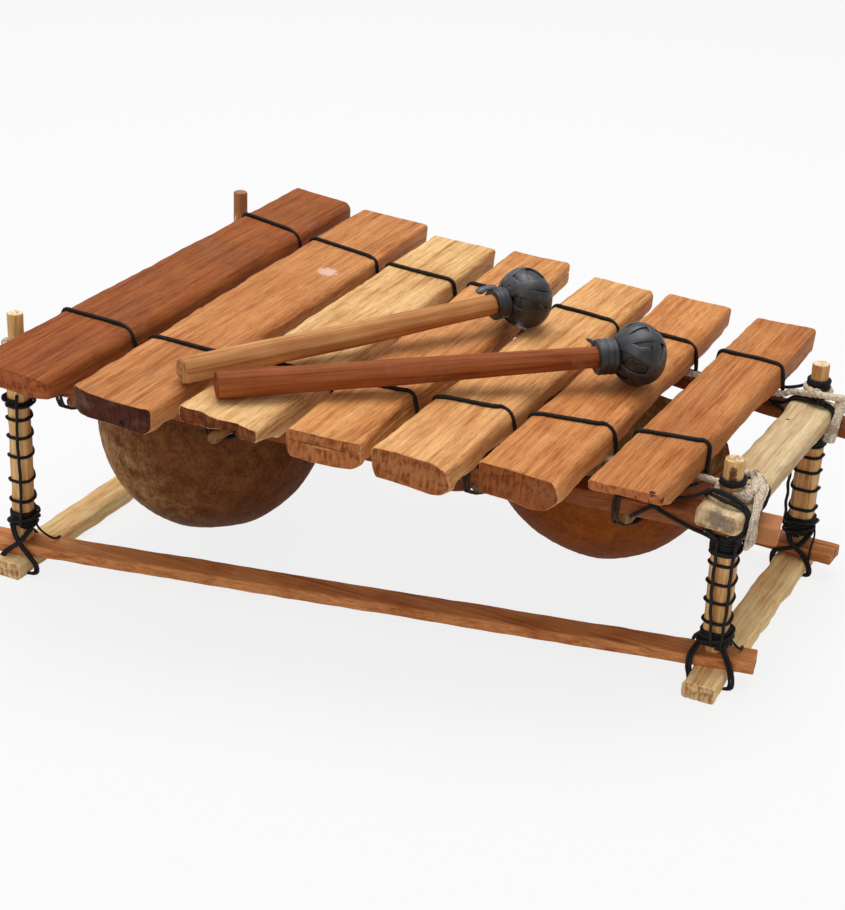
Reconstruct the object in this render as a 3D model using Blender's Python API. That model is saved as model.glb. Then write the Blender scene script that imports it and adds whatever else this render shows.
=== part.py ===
# Balafon: seven wooden keys on two ropes, a hewn pole frame, gourd resonators and two mallets.
# Metres. +X runs to the treble end, -Y faces the player, +Z is up and the floor is z = 0.
import math

import bmesh
import bpy
import numpy as np
from mathutils import Matrix, Vector

FIT_GAP = 0.0003              # clearance left between pieces that touch

# Frame on the floor
SLEEPER_WIDTH = 0.0213
SLEEPER_HEIGHT = 0.0120
SLEEPER_OVERHANG_FRONT = {"left": 0.0205, "right": 0.0300}
SLEEPER_OVERHANG_BACK = 0.0180
LOWER_RAIL_WIDTH = 0.0200
LOWER_RAIL_HEIGHT = 0.0075
LOWER_RAIL_OVERHANG = 0.0260

# Posts: place of each axis on the floor
POSTS = {
    "front_left": (-0.2240, -0.1262),
    "front_right": (0.2205, -0.0367),
    "back_left": (-0.2260, 0.1543),
    "back_right": (0.2230, 0.1323),
}
POST_WIDTH = {"front_left": 0.0140, "front_right": 0.0158, "back_left": 0.0140, "back_right": 0.0164}
POST_CHAMFER = 0.0034
POST_TAPER_HEIGHT = 0.0125    # whittled foot above the lower rail
POST_FOOT_WIDTH = 0.0104
TENON_RADIUS = 0.0043
TENON_IN_SLEEPER = 0.0080
PEG_RADIUS = {"front_left": 0.0050, "front_right": 0.0060, "back_left": 0.0049, "back_right": 0.0056}
PEG_RISE = 0.0352             # top of the pegs above the deck plane
PEG_BEVEL = 0.0010

# Deck: the sloping plane of the upper rails' top faces, falling to the treble end
DECK_HEIGHT = 0.1285
DECK_SLOPE = math.atan(0.065)
UPPER_RAIL_WIDTH = 0.0203
UPPER_RAIL_HEIGHT = {"front": 0.0112, "back": 0.0075}
UPPER_RAIL_OVERHANG = {"front": (0.0285, 0.0310), "back": (0.0140, 0.0310)}      # left, right
CROSSBAR_WIDTH = {"left": 0.0220, "right": 0.0290}
CROSSBAR_HEIGHT = 0.0099
CROSSBAR_HEEL = 0.0040        # how far the front end hooks down over the rail
CROSSBAR_FRONT_OVERHANG = 0.0220
CROSSBAR_BACK_OVERHANG = 0.0030
BOARD_CHAMFER = 0.0012

# Keys, bass to treble: front left, front right, back left and back right edges along the deck,
# then the front and back ends
KEYS = (
    (-0.2085, -0.1575, -0.2040, -0.1560, -0.1955, 0.1940),
    (-0.1420, -0.0875, -0.1455, -0.0925, -0.1890, 0.1900),
    (-0.0785, -0.0255, -0.0810, -0.0330, -0.1735, 0.1780),
    (-0.0140, 0.0310, -0.0230, 0.0200, -0.1570, 0.1890),
    (0.0375, 0.0870, 0.0425, 0.0870, -0.1520, 0.1795),
    (0.0955, 0.1450, 0.0960, 0.1415, -0.1310, 0.1865),
    (0.1555, 0.1970, 0.1605, 0.2010, -0.1110, 0.1865),
)
KEY_BACK_SKEW = (-0.0030, 0.0030, 0.0050, 0.0060, 0.0020, 0.0040, 0.0080)   # right corner past the left
KEY_SKEW_SHARE = 0.25         # share of the length over which it sets in
KEY_THICKNESS = 0.0180
KEY_ARCH_DEPTH = 0.0040       # tuning hollow carved under the middle
KEY_ARCH_SHARE = 0.46         # share of the length that the hollow takes
KEY_TOP_ROUND = 0.0034
KEY_BOTTOM_ROUND = 0.0020
KEY_END_ROUND = 0.0016
KEY_FRONT_THICKNESS = {1: 0.0155, 3: 0.0090, 7: 0.0075}   # front ends thinned from below
KEY_FRONT_RAKE = {1: 0.0055, 4: -0.0030, 7: 0.0030}       # how far the lower edge stands back
KEY_THINNING_LENGTH = 0.0300

# Ropes that carry the keys: where they cross each key
ROPE_DIAMETER = 0.0046
ROPE_ROUTES = {
    "front": (-0.0993, -0.0980, -0.0865, -0.0765, -0.0625, -0.0465, -0.0295),
    "back": (0.1165, 0.1080, 0.1035, 0.1100, 0.1106, 0.1100, 0.1135),
}
ROPE_TURN_PITCH = 0.0056
ROPE_HITCH_PLACE = 0.0260          # of the back rope on the left crossbar, in front of the peg
KNOT_TURNS = 2.5
KNOT_BESIDE_LASHING = 0.0044       # from the right crossbar's lashing to the middle of the knots
KNOT_BEFORE_PEG = {"front": 0.0098, "back": 0.0140}
ROPE_TAIL = 0.0300
ROUTE_STEPS = 18

# Black lashing cord
CORD_DIAMETER = 0.0026
CORD_TURN_GAP = 0.0005
COLLAR_TURNS = 2
RUNG_PITCH = 0.0132
STRAND_SPREAD = 0.0090        # between the two strands down a post's face
LASHING_END = 0.3             # where a bar lashing's ends meet, as a share of its width
PEG_BAND_TURNS = 1.8
PEG_BAND_START = math.radians(75)      # past the end of the rope's own turns

# Gourds: place along the deck, clear distance from the front rail's centre line, radius; how far the
# ball's centre lies under the rim, as a share of the radius; for each hanger stick its place across, as
# a share of the radius, and how far it stands out past the front rail; the radius of these sticks
GOURDS = {
    "left": {"x": -0.1395, "behind_rail": 0.0060, "radius": 0.0760, "cut": 0.546,
             "hangers": ((-0.592, -0.0040), (0.680, 0.0050)), "stick": 0.0040},
    "middle": {"x": 0.0428, "behind_rail": 0.0142, "radius": 0.0240, "cut": 0.479,
               "hangers": ((-0.45, -0.0040),), "stick": 0.0025},
    "right": {"x": 0.1190, "behind_rail": 0.0130, "radius": 0.0765, "cut": 0.063,
              "hangers": ((-0.588, -0.0040), (0.588, -0.0040)), "stick": 0.0040},
}
GOURD_WALL = 0.0045
GOURD_RIM_DROP = 0.0060       # rims under the deck plane
GOURD_SEGMENTS = 24
GOURD_ROWS = 7
HANGER_BACK_OVERHANG = 0.0050

# Mallets: butt place on the deck, stick length to the middle of the head, and to the key edge that
# carries the stick; headings from +X
MALLETS = {
    1: {"butt": (-0.0918, -0.1481), "reach": 0.2485, "rest": 0.0040},
    2: {"butt": (-0.0656, -0.1522), "reach": 0.2650, "rest": 0.0},
}
MALLET_HEADINGS = {1: math.radians(58.9), 2: math.radians(42.1)}
STICK_FACETS = 8
STICK_BUTT_RADIUS = 0.0086
STICK_NECK_RADIUS = 0.0068
STICK_SOCKET = 0.0130         # length of stick inside the head
HEAD_RADIUS = 0.0208
HEAD_LENGTH = 0.0350
HEAD_SHAPE = ((0.0, 0.52), (0.10, 0.76), (0.28, 0.95), (0.50, 1.0), (0.72, 0.95), (0.90, 0.74), (1.0, 0.45))
BINDING_THICKNESS = 0.0026
BINDING_LENGTH = 0.0120

SLOPE_SIN = math.sin(DECK_SLOPE)
SLOPE_COS = math.cos(DECK_SLOPE)
CORD_RADIUS = CORD_DIAMETER / 2
ROPE_RADIUS = ROPE_DIAMETER / 2
CORD_OFF = CORD_RADIUS + FIT_GAP      # from a face to a cord that lies on it
ROPE_OFF = ROPE_RADIUS + FIT_GAP
ROPE_LIFT = {"front": 0.0, "back": CORD_DIAMETER + FIT_GAP}     # over the bar lashing, before the treble peg
CORD_BEND = CORD_DIAMETER * 0.6       # how far a bend's two points stand from its corner
LOWER_RAIL_TOP = SLEEPER_HEIGHT + FIT_GAP + LOWER_RAIL_HEIGHT
CROSSBAR_TOP = FIT_GAP + CROSSBAR_HEIGHT
ROPE_LEVEL = CROSSBAR_TOP + ROPE_OFF
KEY_UNDERSIDE = ROPE_LEVEL + ROPE_OFF
KEY_TOP = KEY_UNDERSIDE + KEY_THICKNESS
PEG_SIDES = 16
CORNERS = tuple(POSTS)

COLOURS = {
    "pale_wood": (0.62, 0.47, 0.29), "post_wood": (0.52, 0.35, 0.19), "rail_wood": (0.30, 0.12, 0.05),
    "key_dark": (0.32, 0.11, 0.05), "key_red": (0.50, 0.22, 0.10), "key_gold": (0.60, 0.32, 0.13),
    "key_pale": (0.70, 0.45, 0.20), "gourd": (0.25, 0.11, 0.04), "rope": (0.72, 0.66, 0.58),
    "cord": (0.012, 0.011, 0.012), "stick_wood": (0.45, 0.22, 0.10), "rubber": (0.035, 0.035, 0.042),
}
KEY_WOODS = ("key_dark", "key_red", "key_pale", "key_gold", "key_gold", "key_gold", "key_red")


def clear_scene():
    for item in list(bpy.data.objects):
        bpy.data.objects.remove(item, do_unlink=True)


def make_material(name, roughness):
    """A Principled material of one colour."""
    material = bpy.data.materials.new(name)
    material.use_nodes = True
    shader = material.node_tree.nodes["Principled BSDF"]
    shader.inputs["Base Color"].default_value = (*COLOURS[name], 1.0)
    shader.inputs["Roughness"].default_value = roughness
    shader.inputs["Metallic"].default_value = 0.0
    return material


def finish_colour(name):
    """Each sub-part gets its own copy of its wood, cord or rubber."""
    roughness = 0.45 if name == "rubber" else 0.7
    return make_material(name, roughness)


def add_object(name, data, colour, parent=None):
    thing = bpy.data.objects.new(name, data)
    data.materials.append(finish_colour(colour))
    bpy.context.scene.collection.objects.link(thing)
    thing.parent = parent
    return thing


def add_mesh(name, bm, colour, parent=None, smooth=False):
    bmesh.ops.recalc_face_normals(bm, faces=bm.faces)
    mesh = bpy.data.meshes.new(name)
    bm.to_mesh(mesh)
    bm.free()
    if smooth:
        mesh.shade_smooth()
        mesh.set_sharp_from_angle(angle=math.radians(40))
    return add_object(name, mesh, colour, parent)


def add_cutter(name, bm, parent=None):
    bmesh.ops.recalc_face_normals(bm, faces=bm.faces)
    mesh = bpy.data.meshes.new(name)
    bm.to_mesh(mesh)
    bm.free()
    cutter = bpy.data.objects.new(name, mesh)
    bpy.context.scene.collection.objects.link(cutter)
    cutter.parent = parent
    cutter.hide_render = True
    cutter.display_type = "WIRE"
    return cutter


def cut(target, cutter):
    change = target.modifiers.new("cut_" + cutter.name, "BOOLEAN")
    change.operation = "DIFFERENCE"
    change.solver = "EXACT"
    change.object = cutter


def loft(bm, rings):
    """Join rings of equal point counts into one closed body with flat ends."""
    rows = [[bm.verts.new(point) for point in ring] for ring in rings]
    for row, following in zip(rows, rows[1:]):
        for i in range(len(row)):
            j = (i + 1) % len(row)
            bm.faces.new((row[i], row[j], following[j], following[i]))
    bm.faces.new(rows[0][::-1])
    bm.faces.new(rows[-1])


def circle_ring(radius, height, sides, centre=(0.0, 0.0)):
    """Points round a circle in the XY plane."""
    angles = [2 * math.pi * (i + 0.5) / sides for i in range(sides)]
    x, y = centre
    return [Vector((x + radius * math.cos(a), y + radius * math.sin(a), height)) for a in angles]


def eight_corners(half_x, half_y, chamfer):
    """The eight corners of a chamfered rectangle, counter-clockwise from the +X face."""
    x, y, c = half_x, half_y, chamfer
    return [(x, -y + c), (x, y - c), (x - c, y), (-x + c, y),
            (-x, y - c), (-x, -y + c), (-x + c, -y), (x - c, -y)]


def board_rings(start, end, width, height, chamfer):
    """Rings of a chamfered board along X, its ends eased by the chamfer."""
    rings = []
    for place, inset in ((start, chamfer), (start + chamfer, 0.0), (end - chamfer, 0.0), (end, chamfer)):
        corners = eight_corners(width / 2 - inset, height / 2 - inset, chamfer)
        rings.append([Vector((place, y, z)) for y, z in corners])
    return rings


def board(name, start, end, width, height, colour, parent=None):
    bm = bmesh.new()
    loft(bm, board_rings(start, end, width, height, BOARD_CHAMFER))
    return add_mesh(name, bm, colour, parent)


def vertical_cutter(name, places, radius, bottom, top):
    """Upright round cutters, one at each place."""
    bm = bmesh.new()
    for place in places:
        loft(bm, [circle_ring(radius, bottom, PEG_SIDES, place), circle_ring(radius, top, PEG_SIDES, place)])
    return add_cutter(name, bm)


def tube(name, paths, diameter, colour, parent=None, resolution=1):
    """Round cords as one object, one spline for each path."""
    curve = bpy.data.curves.new(name, "CURVE")
    curve.dimensions = "3D"
    curve.bevel_depth = diameter / 2
    curve.bevel_resolution = resolution
    curve.use_fill_caps = True
    for path in paths:
        spline = curve.splines.new("POLY")
        spline.points.add(len(path) - 1)
        for point, place in zip(spline.points, path):
            point.co = (*place, 1.0)
    return add_object(name, curve, colour, parent)


def least_self_gap(path, diameter):
    """Least clear distance of a cord to itself, past the stretch that its own bends take."""
    points = np.array([list(p) for p in path])
    dense = [points[0]]
    for a, b in zip(points, points[1:]):
        steps = max(2, int(np.linalg.norm(b - a) / 0.0008))
        dense.extend(a + (b - a) * (k + 1) / steps for k in range(steps))
    dense = np.array(dense)
    along = np.concatenate([[0.0], np.cumsum(np.linalg.norm(np.diff(dense, axis=0), axis=1))])
    apart = np.linalg.norm(dense[:, None, :] - dense[None, :, :], axis=2)
    apart[np.abs(along[:, None] - along[None, :]) < 3.2 * diameter] = np.inf
    return float(apart.min()) - diameter


def report_gap(name, path, diameter):
    print(f"{name}: least gap to itself {1000 * least_self_gap(path, diameter):.2f} mm")


def side_of(corner):
    return corner.split("_")[1]


def end_of(corner):
    return corner.split("_")[0]


def deck_x(world_x, rise):
    """Place along the deck of an upright line at world_x, where it is `rise` above the deck plane."""
    return (world_x - rise * SLOPE_SIN) / SLOPE_COS


def deck_z(world_x, rise):
    """World height of the plane `rise` above the deck, at world_x."""
    return DECK_HEIGHT - world_x * math.tan(DECK_SLOPE) + rise / SLOPE_COS


def peg_place(corner, rise):
    """Where a peg's axis is on the deck, at a height above it."""
    x, y = POSTS[corner]
    return Vector((deck_x(x, rise), y, rise))


def follow_peg(corner, path, level):
    """Shift a winding's points, made round the peg at one level, along its lean."""
    for point in path:
        point.x += peg_place(corner, point.z).x - peg_place(corner, level).x
    return path


def rail_heading(end, on_deck):
    """Unit direction, bass to treble, of the rails between two posts."""
    x0, y0 = POSTS[end + "_left"]
    x1, y1 = POSTS[end + "_right"]
    if on_deck:
        x0, x1 = deck_x(x0, 0.0), deck_x(x1, 0.0)
    return Vector((x1 - x0, y1 - y0, 0.0)).normalized()


def rail_length(end, on_deck):
    x0, y0 = POSTS[end + "_left"]
    x1, y1 = POSTS[end + "_right"]
    if on_deck:
        x0, x1 = deck_x(x0, 0.0), deck_x(x1, 0.0)
    return math.hypot(x1 - x0, y1 - y0)


def rail_y(end, x):
    """Centre line of an upper rail at a place along the deck."""
    start = peg_place(end + "_left", 0.0)
    heading = rail_heading(end, True)
    return start.y + (x - start.x) * heading.y / heading.x


def saddle_loop(centre, top_along, bottom_along, top_half, bottom_half, top, bottom):
    """Lashing round two crossed members, one unbroken tube.

    Two runs cross over the upper member and two under the lower one, joined by four upright legs.
    The legs stand clear of both members, also where these don't cross at a right angle.
    """
    sine = abs(top_along.x * bottom_along.y - top_along.y * bottom_along.x)
    u = top_along * (bottom_half / sine)
    v = bottom_along * (top_half / sine)
    ease = CORD_BEND

    def leg(a, b, level):
        return centre + u * a + v * b + Vector((0, 0, level))

    def corner(a, b, level, toward):
        """Two points that round the bend from a leg into a run."""
        point = leg(a, b, level)
        inward = -ease if level == top else ease
        return [point + Vector((0, 0, inward)), point + toward * ease]

    vn, un = v.normalized(), u.normalized()
    path = [leg(1, -0.15, top)]
    path += corner(1, -1, top, vn)[::-1] + corner(1, -1, bottom, -un)
    path += corner(-1, -1, bottom, un)[::-1] + corner(-1, -1, top, vn)
    path += corner(-1, 1, top, -vn)[::-1] + corner(-1, 1, bottom, un)
    path += corner(1, 1, bottom, -un)[::-1] + corner(1, 1, top, -vn)
    path += [leg(1, 0.15, top)]
    return path


def octagon_turns(centre, half, chamfer, levels):
    """A cord wound round a chamfered square, one point at each corner."""
    corners = eight_corners(half, half, chamfer)
    return [Vector((centre[0] + corners[i % 8][0], centre[1] + corners[i % 8][1], level))
            for i, level in enumerate(levels)]


def round_turns(centre, radius, start, sweep, low, high, count):
    """A helix round an upright axis: angles in radians, levels above the deck plane.

    The points stand a little further out, so that the straight runs between them keep the radius.
    """
    radius /= math.cos(sweep / count / 2)
    path = []
    for i in range(count + 1):
        share = i / count
        angle = start + sweep * share
        level = low + (high - low) * share
        path.append(Vector((centre.x + radius * math.cos(angle), centre.y + radius * math.sin(angle), level)))
    return path


def sleeper_x(side):
    return (POSTS["front_" + side][0] + POSTS["back_" + side][0]) / 2


def make_sleeper(side, cutters):
    x = sleeper_x(side)
    start = POSTS["front_" + side][1] - SLEEPER_OVERHANG_FRONT[side]
    end = POSTS["back_" + side][1] + SLEEPER_OVERHANG_BACK
    sleeper = board("sleeper_" + side, start, end, SLEEPER_WIDTH, SLEEPER_HEIGHT, "pale_wood")
    sleeper.location = (x, 0.0, SLEEPER_HEIGHT / 2)
    sleeper.rotation_euler = (0.0, 0.0, math.pi / 2)
    for end_name in ("front", "back"):
        corner = end_name + "_" + side
        cut(sleeper, cutters["tenon_" + corner])
        cut(sleeper, foot_groove_cutter(corner))


def foot_groove_cutter(corner):
    """Two grooves under a sleeper for the lashing that passes beneath it."""
    heading = rail_heading(end_of(corner), False)
    reach = foot_legs(corner)[1]
    depth = 2 * CORD_OFF + CORD_RADIUS
    half = CORD_OFF + FIT_GAP
    sleeper_way = Vector((0.0, 1.0, 0.0))
    bm = bmesh.new()
    for side in (-1, 1):
        middle = Vector((*POSTS[corner], 0.0)) + sleeper_way * side * reach
        across = Vector((-heading.y, heading.x, 0.0))
        box = [middle + heading * a * SLEEPER_WIDTH + across * b * half
               for a, b in ((-1, -1), (1, -1), (1, 1), (-1, 1))]
        loft(bm, [[p + Vector((0, 0, -depth)) for p in box], [p + Vector((0, 0, depth)) for p in box]])
    return add_cutter("groove_" + corner, bm)


def make_lower_rail(end, cutters):
    heading = rail_heading(end, False)
    length = rail_length(end, False)
    rail = board("lower_rail_" + end, -LOWER_RAIL_OVERHANG, length + LOWER_RAIL_OVERHANG,
                 LOWER_RAIL_WIDTH, LOWER_RAIL_HEIGHT, "rail_wood")
    rail.location = (*POSTS[end + "_left"], LOWER_RAIL_TOP - LOWER_RAIL_HEIGHT / 2)
    rail.rotation_euler = (0.0, 0.0, math.atan2(heading.y, heading.x))
    for side in ("left", "right"):
        cut(rail, cutters["tenon_" + end + "_" + side])


def make_upper_rail(end, deck, cutters):
    heading = rail_heading(end, True)
    length = rail_length(end, True)
    height = UPPER_RAIL_HEIGHT[end]
    rail = board("upper_rail_" + end, -UPPER_RAIL_OVERHANG[end][0], length + UPPER_RAIL_OVERHANG[end][1],
                 UPPER_RAIL_WIDTH, height, "rail_wood", deck)
    start = peg_place(end + "_left", 0.0)
    rail.location = (start.x, start.y, -height / 2)
    rail.rotation_euler = (0.0, 0.0, math.atan2(heading.y, heading.x))
    for side in ("left", "right"):
        cut(rail, cutters["peg_" + end + "_" + side])


def crossbar_offset(side):
    """The pegs go through the right crossbar; the left one lies against the pegs' inner sides."""
    if side == "right":
        return 0.0
    return CROSSBAR_WIDTH[side] / 2 + max(PEG_RADIUS["front_left"], PEG_RADIUS["back_left"]) + FIT_GAP


def crossbar_place(corner, rise):
    """Middle of a crossbar beside or around a peg."""
    side = side_of(corner)
    return peg_place(corner, rise) + Vector((crossbar_offset(side), 0.0, 0.0))


def crossbar_line(side, y):
    """Where a crossbar's centre line crosses y on the deck, and half the bar's width along X there."""
    near, far = crossbar_place("front_" + side, 0.0), crossbar_place("back_" + side, 0.0)
    lean = (far.x - near.x) / (far.y - near.y)
    return near.x + (y - near.y) * lean, CROSSBAR_WIDTH[side] / 2 * math.hypot(1.0, lean)


def make_crossbar(side, deck, cutters):
    """A crossbar on the upper rails, its front end hooked down over the front one."""
    front = crossbar_place("front_" + side, FIT_GAP + (CROSSBAR_HEIGHT - CROSSBAR_HEEL) / 2)
    back = crossbar_place("back_" + side, front.z)
    way = back - front
    bar = board("crossbar_" + side, -CROSSBAR_FRONT_OVERHANG, way.length + CROSSBAR_BACK_OVERHANG,
                CROSSBAR_WIDTH[side], CROSSBAR_HEIGHT + CROSSBAR_HEEL, "pale_wood", deck)
    bar.location = front
    bar.rotation_euler = (0.0, 0.0, math.atan2(way.y, way.x))
    heading = rail_heading("front", True)
    across = Vector((-heading.y, heading.x, 0.0))
    seat = front - across * (UPPER_RAIL_WIDTH / 2 + FIT_GAP) - heading * crossbar_offset(side)
    reach = across * 2 * way.length
    wide = heading * way.length
    bm = bmesh.new()
    sheet = (seat - wide, seat + wide, seat + wide + reach, seat - wide + reach)
    loft(bm, [[Vector((*p.xy, z)) for p in sheet] for z in (FIT_GAP - 2 * CROSSBAR_HEEL, FIT_GAP)])
    cut(bar, add_cutter("seat_" + side, bm, deck))
    if side == "right":
        for end in ("front", "back"):
            cut(bar, cutters["peg_" + end + "_" + side])


def bar_lashing_path(corner):
    """Cord that ties a crossbar to its rail: over the bar, down both sides past the rail, under it
    beside the post, and up behind the rail to close under the bar."""
    side, end = side_of(corner), end_of(corner)
    clear = UPPER_RAIL_WIDTH / 2 / rail_heading(end, True).x + CORD_OFF + CORD_RADIUS / 2
    clear_top = clear + CORD_RADIUS
    top = CROSSBAR_TOP + CORD_OFF
    low = -UPPER_RAIL_HEIGHT[end] - CORD_OFF
    behind = (low + FIT_GAP) / 2 - CORD_RADIUS / 2
    under = FIT_GAP - CORD_RADIUS - (CROSSBAR_HEEL if end == "front" else 0.0)
    bar_x, bar_half = crossbar_line(side, POSTS[corner][1] - clear_top)
    bar_half += CORD_OFF
    post_x = peg_place(corner, low).x
    beside_post = POST_WIDTH[corner] / 2 + CORD_OFF + FIT_GAP
    left = post_x + beside_post if side == "left" else post_x - beside_post
    right = bar_x + bar_half if side == "left" else post_x + beside_post
    ease = CORD_BEND
    closing = clear + CORD_TURN_GAP

    def place(x, across, level):
        return Vector((x, rail_y(end, x) + across, level))

    return [
        place(left + LASHING_END * (right - left), closing, behind),
        place(left + ease, clear, behind), place(left, clear, behind - ease),
        place(left, clear, low + ease), place(left, clear - ease, low),
        place(left, -clear + ease, low), place(left, -clear, low + ease),
        place(bar_x - bar_half, -clear_top, under), place(bar_x - bar_half, -clear_top, top - ease),
        place(bar_x - bar_half + ease, -clear_top, top),
        place(bar_x + bar_half - ease, -clear_top, top), place(bar_x + bar_half, -clear_top, top - ease),
        place(bar_x + bar_half, -clear_top, under),
        place(right, -clear, low + ease), place(right, -clear + ease, low),
        place(right, clear - ease, low), place(right, clear, low + ease),
        place(right, clear, behind - ease), place(right - ease, clear, behind),
        place(left + LASHING_END * (right - left) + CORD_DIAMETER + CORD_TURN_GAP, closing, behind),
    ]


def make_bar_lashing(corner, deck):
    path = bar_lashing_path(corner)
    report_gap("bar_lashing_" + corner, path, CORD_DIAMETER)
    tube("bar_lashing_" + corner, [path], CORD_DIAMETER, "cord", deck)


def ring_of_sixteen(half, chamfer, level):
    """A chamfered square as sixteen points: each corner and the middle of each side."""
    corners = eight_corners(half, half, chamfer)
    ring = []
    for i, corner in enumerate(corners):
        following = corners[(i + 1) % 8]
        ring.append(Vector((*corner, level)))
        ring.append(Vector(((corner[0] + following[0]) / 2, (corner[1] + following[1]) / 2, level)))
    return ring


def ring_of_peg(radius, level, like):
    """A round ring whose points pair with those of a ring of sixteen."""
    return [Vector((*(point.xy.normalized() * radius), level)) for point in like]


def make_post(corner):
    x, y = POSTS[corner]
    rail_underside = -UPPER_RAIL_HEIGHT[end_of(corner)]
    shoulder = deck_z(x, rail_underside) - FIT_GAP
    peg_top = deck_z(x, PEG_RISE)
    seat = LOWER_RAIL_TOP + FIT_GAP
    half, peg = POST_WIDTH[corner] / 2, PEG_RADIUS[corner]
    foot_chamfer = POST_CHAMFER * POST_FOOT_WIDTH / POST_WIDTH[corner]
    section = ring_of_sixteen(half, POST_CHAMFER, seat + POST_TAPER_HEIGHT)

    def tilted(ring):
        return [Vector((p.x, p.y, p.z - p.x * math.tan(DECK_SLOPE))) for p in ring]

    rings = [
        ring_of_peg(TENON_RADIUS, SLEEPER_HEIGHT - TENON_IN_SLEEPER, section),
        ring_of_peg(TENON_RADIUS, seat, section),
        ring_of_sixteen(POST_FOOT_WIDTH / 2, foot_chamfer, seat),
        section,
        tilted(ring_of_sixteen(half, POST_CHAMFER, shoulder)),
        tilted(ring_of_peg(peg, shoulder, section)),
        ring_of_peg(peg, peg_top - PEG_BEVEL, section),
        ring_of_peg(peg - PEG_BEVEL, peg_top, section),
    ]
    bm = bmesh.new()
    loft(bm, rings)
    post = add_mesh("post_" + corner, bm, "post_wood")
    post.location = (x, y, 0.0)


def make_post_lashing(corner):
    """One cord: crossed over the lower rail and under the sleeper, wound up the post, then down and
    up its face."""
    x, y = POSTS[corner]
    turn = CORD_DIAMETER + CORD_TURN_GAP
    low = LOWER_RAIL_TOP + POST_TAPER_HEIGHT + 2 * CORD_DIAMETER
    post_half = POST_WIDTH[corner] / 2
    shoulder = deck_z(x, -UPPER_RAIL_HEIGHT[end_of(corner)]) - post_half * math.tan(DECK_SLOPE)
    high = shoulder - 2 * CORD_DIAMETER - CORD_OFF
    collar = COLLAR_TURNS * turn
    rungs = max(1, round((high - low - 2 * collar) / RUNG_PITCH))
    rung_pitch = (high - low - 2 * collar) / rungs
    levels = [low + turn * i / 8 for i in range(8 * COLLAR_TURNS)]
    levels += [low + collar + rung_pitch * i / 8 for i in range(8 * rungs)]
    levels += [high - collar + turn * i / 8 for i in range(8 * COLLAR_TURNS - 1)]
    half = post_half + CORD_OFF
    chamfer = POST_CHAMFER + CORD_OFF * (2 - math.sqrt(2))
    path = foot_path(corner)[::-1] + octagon_turns((x, y), half, chamfer, levels)
    face = y - half - CORD_DIAMETER - 2 * FIT_GAP
    first, second = x - STRAND_SPREAD / 2, x + STRAND_SPREAD / 2
    top = levels[-1] - turn
    path += [Vector((first, face, levels[-1])), Vector((first, face, top)), Vector((first, face, low + turn)),
             Vector((second, face, low + turn)), Vector((second, face, top))]
    report_gap("post_lashing_" + corner, path, CORD_DIAMETER)
    tube("post_lashing_" + corner, [path], CORD_DIAMETER, "cord")


def foot_legs(corner):
    """How far the foot lashing's legs stand from the post's axis, along the rail and along the sleeper."""
    heading = rail_heading(end_of(corner), False)
    return ((SLEEPER_WIDTH / 2 + CORD_OFF) / heading.x, (LOWER_RAIL_WIDTH / 2 + CORD_OFF) / heading.x)


def foot_path(corner):
    """Cord round the lower rail and the sleeper, drawn up to the post's collar on both sides of it."""
    heading = rail_heading(end_of(corner), False)
    sleeper_way = Vector((0.0, 1.0, 0.0))
    centre = Vector((*POSTS[corner], 0.0))
    centre += heading * (sleeper_x(side_of(corner)) - centre.x) / heading.x
    rail_top = LOWER_RAIL_TOP + CORD_OFF
    path = saddle_loop(centre, heading, sleeper_way, LOWER_RAIL_WIDTH / 2 + CORD_OFF,
                       SLEEPER_WIDTH / 2 + CORD_OFF, rail_top, CORD_OFF)
    peak = LOWER_RAIL_TOP + POST_TAPER_HEIGHT - CORD_DIAMETER
    beside = POST_WIDTH[corner] / 2 + CORD_OFF + CORD_RADIUS
    right = centre + heading * beside + Vector((0, 0, peak))
    left = centre - heading * beside + Vector((0, 0, peak))
    step = sleeper_way * CORD_DIAMETER * 0.7
    path[0] = right - step
    path[-1] = right + step
    return path[:9] + [left - step, left + step] + path[9:]


def rope_wrap(end):
    """How the rope goes round its right peg: the side where it arrives, its turning sense and turns."""
    return (1, -1, 1.25) if end == "front" else (-1, 1, 1.0)


def make_peg_band(corner, deck):
    """Cord wound round the peg over the rope: its first turn lies on the rope's own rising turns."""
    arrival, sense, rope_turns = rope_wrap(end_of(corner))
    turn = CORD_DIAMETER + CORD_TURN_GAP
    low = ROPE_LEVEL + ROPE_LIFT[end_of(corner)] + ROPE_OFF + CORD_OFF
    low += ROPE_TURN_PITCH * (rope_turns - 1 + PEG_BAND_START / (2 * math.pi))
    start = arrival * math.pi / 2 + sense * (2 * math.pi * rope_turns + PEG_BAND_START)
    axis = peg_place(corner, low)
    radius = PEG_RADIUS[corner] + CORD_OFF
    more = PEG_BAND_TURNS - 1
    band = round_turns(axis, radius, start, sense * 2 * math.pi, low, low + ROPE_TURN_PITCH, 10)
    band += round_turns(axis, radius, start, sense * 2 * math.pi * more, low + ROPE_TURN_PITCH,
                        low + ROPE_TURN_PITCH + turn * more, round(10 * more))[1:]
    follow_peg(corner, band, low)
    report_gap("peg_band_" + corner, band, CORD_DIAMETER)
    tube("peg_band_" + corner, [band], CORD_DIAMETER, "cord", deck)


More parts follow.
